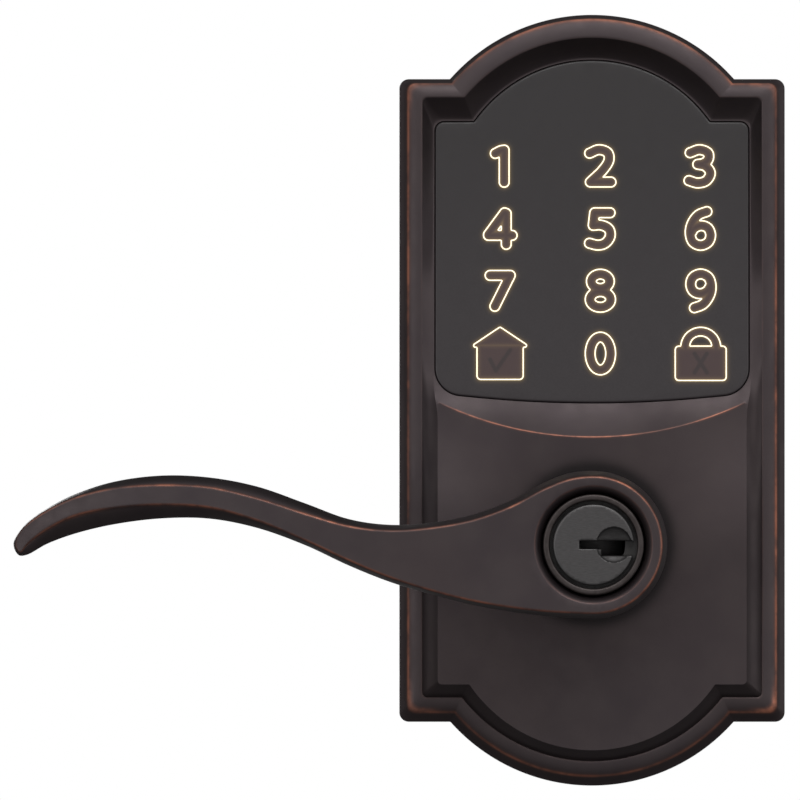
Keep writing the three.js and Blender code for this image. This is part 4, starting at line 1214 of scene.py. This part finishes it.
def drive_spindle():
    """Sleeve with its clip groove, and the square bar that works the latch."""
    end = near("drive_spindle", 1, high=True)
    bar_start = 16.0
    sleeve = [(6.6, -4.7), (7, -4.3), (7, 13.2), (6.2, 13.2), (6.2, 14.6), (7, 14.6), (7, 16.5),
              (5.5, 16.5)]
    turn(rounded(sleeve, 0.3), 64).build("drive_sleeve", "steel", "drive", ("drive_spindle",), 40)
    skin = Skin()
    rings = []
    corner = 0.5
    for inset, y in ((0.0, bar_start), (0.0, end - 1.2), (0.25, end - 0.9), (1.0, end)):
        half = 3.8 - inset
        loop = []
        for turned, (cx, cz) in enumerate(((1, 1), (-1, 1), (-1, -1), (1, -1))):
            start = turned * math.pi / 2
            loop += arc(cx * (half - corner), cz * (half - corner), corner, start, start + math.pi / 2, 4)
        rings.append(skin.ring(np.array(loop), y))
    skin.chain(rings)
    for ring, y in ((rings[0], bar_start), (rings[-1], end)):
        skin.fill(ring, [], flat(y), 9.0)
    skin.build("drive_square", "steel", "drive", crease=30)


def cover_screw(number):
    """Pan-head screw from behind, with a cross recess."""
    node = f"cover_screw_{number}"
    x, z = middle(node)
    back = near(node, 1, high=True)
    recess_end = back - 0.9
    skin = Skin()
    rings = [
        skin.ring(circle_loop(x, z, radius, 40), y)
        for radius, y in ((1.2, SCREW_END), (1.2, back - 1.3), (2.45, back - 1.3), (2.5, back - 1.2),
                          (2.5, back - 0.7), (2.3, back - 0.35), (1.9, back - 0.12), (1.5, back))
    ]
    skin.chain(rings)
    arm, web = 1.25, 0.3
    cross = [(arm, -web), (arm, web), (web, web), (web, arm), (-web, arm), (-web, web), (-arm, web),
             (-arm, -web), (-web, -web), (-web, -arm), (web, -arm), (web, -web)]
    loop = np.array([(x + a, z + b) for a, b in cross])
    recess = [skin.ring(loop, back), skin.ring(loop, recess_end)]
    skin.chain(recess)
    skin.fill(rings[-1], [recess[0]], flat(back), 9.0)
    skin.fill(recess[1], [], flat(recess_end), 9.0)
    skin.fill(rings[0], [], flat(SCREW_END), 9.0)
    skin.build(f"screw_{number}", "steel", "root", (node,), 40)


def back_sheet():
    """Zinc-plated plate with its holes for spindle, cable, posts and screws."""
    front, back = front_and_back("back_plate")
    holes = [circle_loop(0, 0, 10, 80), circle_loop(-14.5, 18.5, 4.2, 40)]
    for side in (-1, 1):
        holes.append(circle_loop(side * POST_X, 0, 2.8))
        holes += [circle_loop(side * SCREW_X, z, PILOT) for z in SCREW_ZS]
        holes += [circle_loop(side * 24, z, 1.35) for z in (88, 38)]
    plate([evenly(WALL + 0.3, 0.8), *holes], front, back, 0.15).build(
        "back_sheet", "steel", "root", ("back_plate",), 40, ZINC)


def foam_gasket():
    plate([evenly(0.8, 1.4), evenly(WALL, 0.6)], -1.0, 0.0, 0.2).build(
        "foam_gasket", "foam", "root", ("back_gasket",), 40)


key_plug()
collar_ring()
neck_bushing()
outlet_grommet()
mounting_post(-1, "left")
mounting_post(1, "right")
drive_spindle()
back_sheet()
foam_gasket()
for number in range(1, 7):
    cover_screw(number)


# ------------------------------------------------------------------ stage

GLOW_FROM = (0.05, -0.8, 0.6)
GLOW = (0.15, 1.0, 0.15, 1.0)


def stage():
    """A pale floor well below the lock, soft lights and a white surround."""
    mesh = bpy.data.meshes.new("floor")
    reach, drop = 6.0, -0.32
    mesh.from_pydata(
        [(-reach, -reach, drop), (reach, -reach, drop), (reach, reach, drop), (-reach, reach, drop)],
        [], [(0, 1, 2, 3)],
    )
    pale = Nodes("pale_floor")
    shade = pale.mix(pale.noise(3, 2), (0.86, 0.86, 0.86, 1), (0.9, 0.9, 0.89, 1))
    pale.set(Base_Color=shade, Roughness=0.9)
    pale.set(Emission_Color=(1, 1, 1, 1), Emission_Strength=0.3)
    mesh.materials.append(pale.material)
    floor = bpy.data.objects.new("floor", mesh)
    bpy.context.scene.collection.objects.link(floor)
    floor.visible_glossy = False
    floor.visible_diffuse = False

    world = bpy.data.worlds.new("studio")
    bpy.context.scene.world = world
    world.use_nodes = True
    tree = world.node_tree
    seen = tree.nodes.new("ShaderNodeLightPath").outputs["Is Camera Ray"]
    white = tree.nodes["Background"]
    white.inputs["Color"].default_value = (1, 1, 1, 1)
    white.inputs["Strength"].default_value = 1.0
    # The surround glows in front, above eye level, and is dark below and behind.
    towards = tree.nodes.new("ShaderNodeTexCoord").outputs["Generated"]
    facing = tree.nodes.new("ShaderNodeVectorMath")
    facing.operation = "DOT_PRODUCT"
    tree.links.new(towards, facing.inputs[0])
    facing.inputs[1].default_value = GLOW_FROM
    ramp = tree.nodes.new("ShaderNodeMapRange")
    ramp.interpolation_type = "SMOOTHSTEP"
    tree.links.new(facing.outputs["Value"], ramp.inputs["Value"])
    for socket, value in zip(("From Min", "From Max", "To Min", "To Max"), GLOW):
        ramp.inputs[socket].default_value = value
    fill = tree.nodes.new("ShaderNodeBackground")
    fill.inputs["Color"].default_value = (1.0, 0.98, 0.985, 1)
    tree.links.new(ramp.outputs[0], fill.inputs["Strength"])
    both = tree.nodes.new("ShaderNodeMixShader")
    tree.links.new(seen, both.inputs["Fac"])
    tree.links.new(fill.outputs[0], both.inputs[1])
    tree.links.new(white.outputs[0], both.inputs[2])
    tree.links.new(both.outputs[0], tree.nodes["World Output"].inputs["Surface"])


def softbox(name, place, size, power, aim=(0, -0.02, 0.03)):
    light = bpy.data.lights.new(name, "AREA")
    light.shape = "RECTANGLE"
    light.size, light.size_y = size
    light.energy = power
    lamp = bpy.data.objects.new(name, light)
    bpy.context.scene.collection.objects.link(lamp)
    lamp.location = place
    lamp.rotation_euler = (Vector(aim) - Vector(place)).to_track_quat("-Z", "Y").to_euler()
    lamp.visible_camera = False


def lights():
    softbox("top_box", (0.1, -1.1, 0.75), (0.9, 0.4), 5)
    softbox("left_box", (-0.75, -1.2, 0.12), (0.35, 0.7), 1.6)
    softbox("right_box", (0.8, -1.1, 0.1), (0.35, 0.7), 1.3)
    softbox("right_edge_box", (1.2, -0.1, 0.1), (0.5, 0.8), 1.3)
    softbox("left_edge_box", (-1.2, -0.15, 0.2), (0.5, 0.8), 0.7)
    softbox("back_box", (-0.5, 1.3, 0.1), (0.8, 0.8), 6)


def camera():
    """Straight on, a long way off, so the lever stays in proportion."""
    view_middle = Vector((-0.0403, 0.0, 0.03015))
    view_width = 0.1683
    data = bpy.data.cameras.new("camera")
    data.lens = 1500
    away = view_width * data.lens / data.sensor_width
    data.clip_start, data.clip_end = 0.1, 60
    eye = bpy.data.objects.new("camera", data)
    bpy.context.scene.collection.objects.link(eye)
    eye.location = view_middle + Vector((0, -away, 0))
    eye.rotation_euler = (math.pi / 2, 0, 0)
    bpy.context.scene.camera = eye


stage()
lights()
camera()
bpy.context.scene.view_settings.view_transform = "Standard"
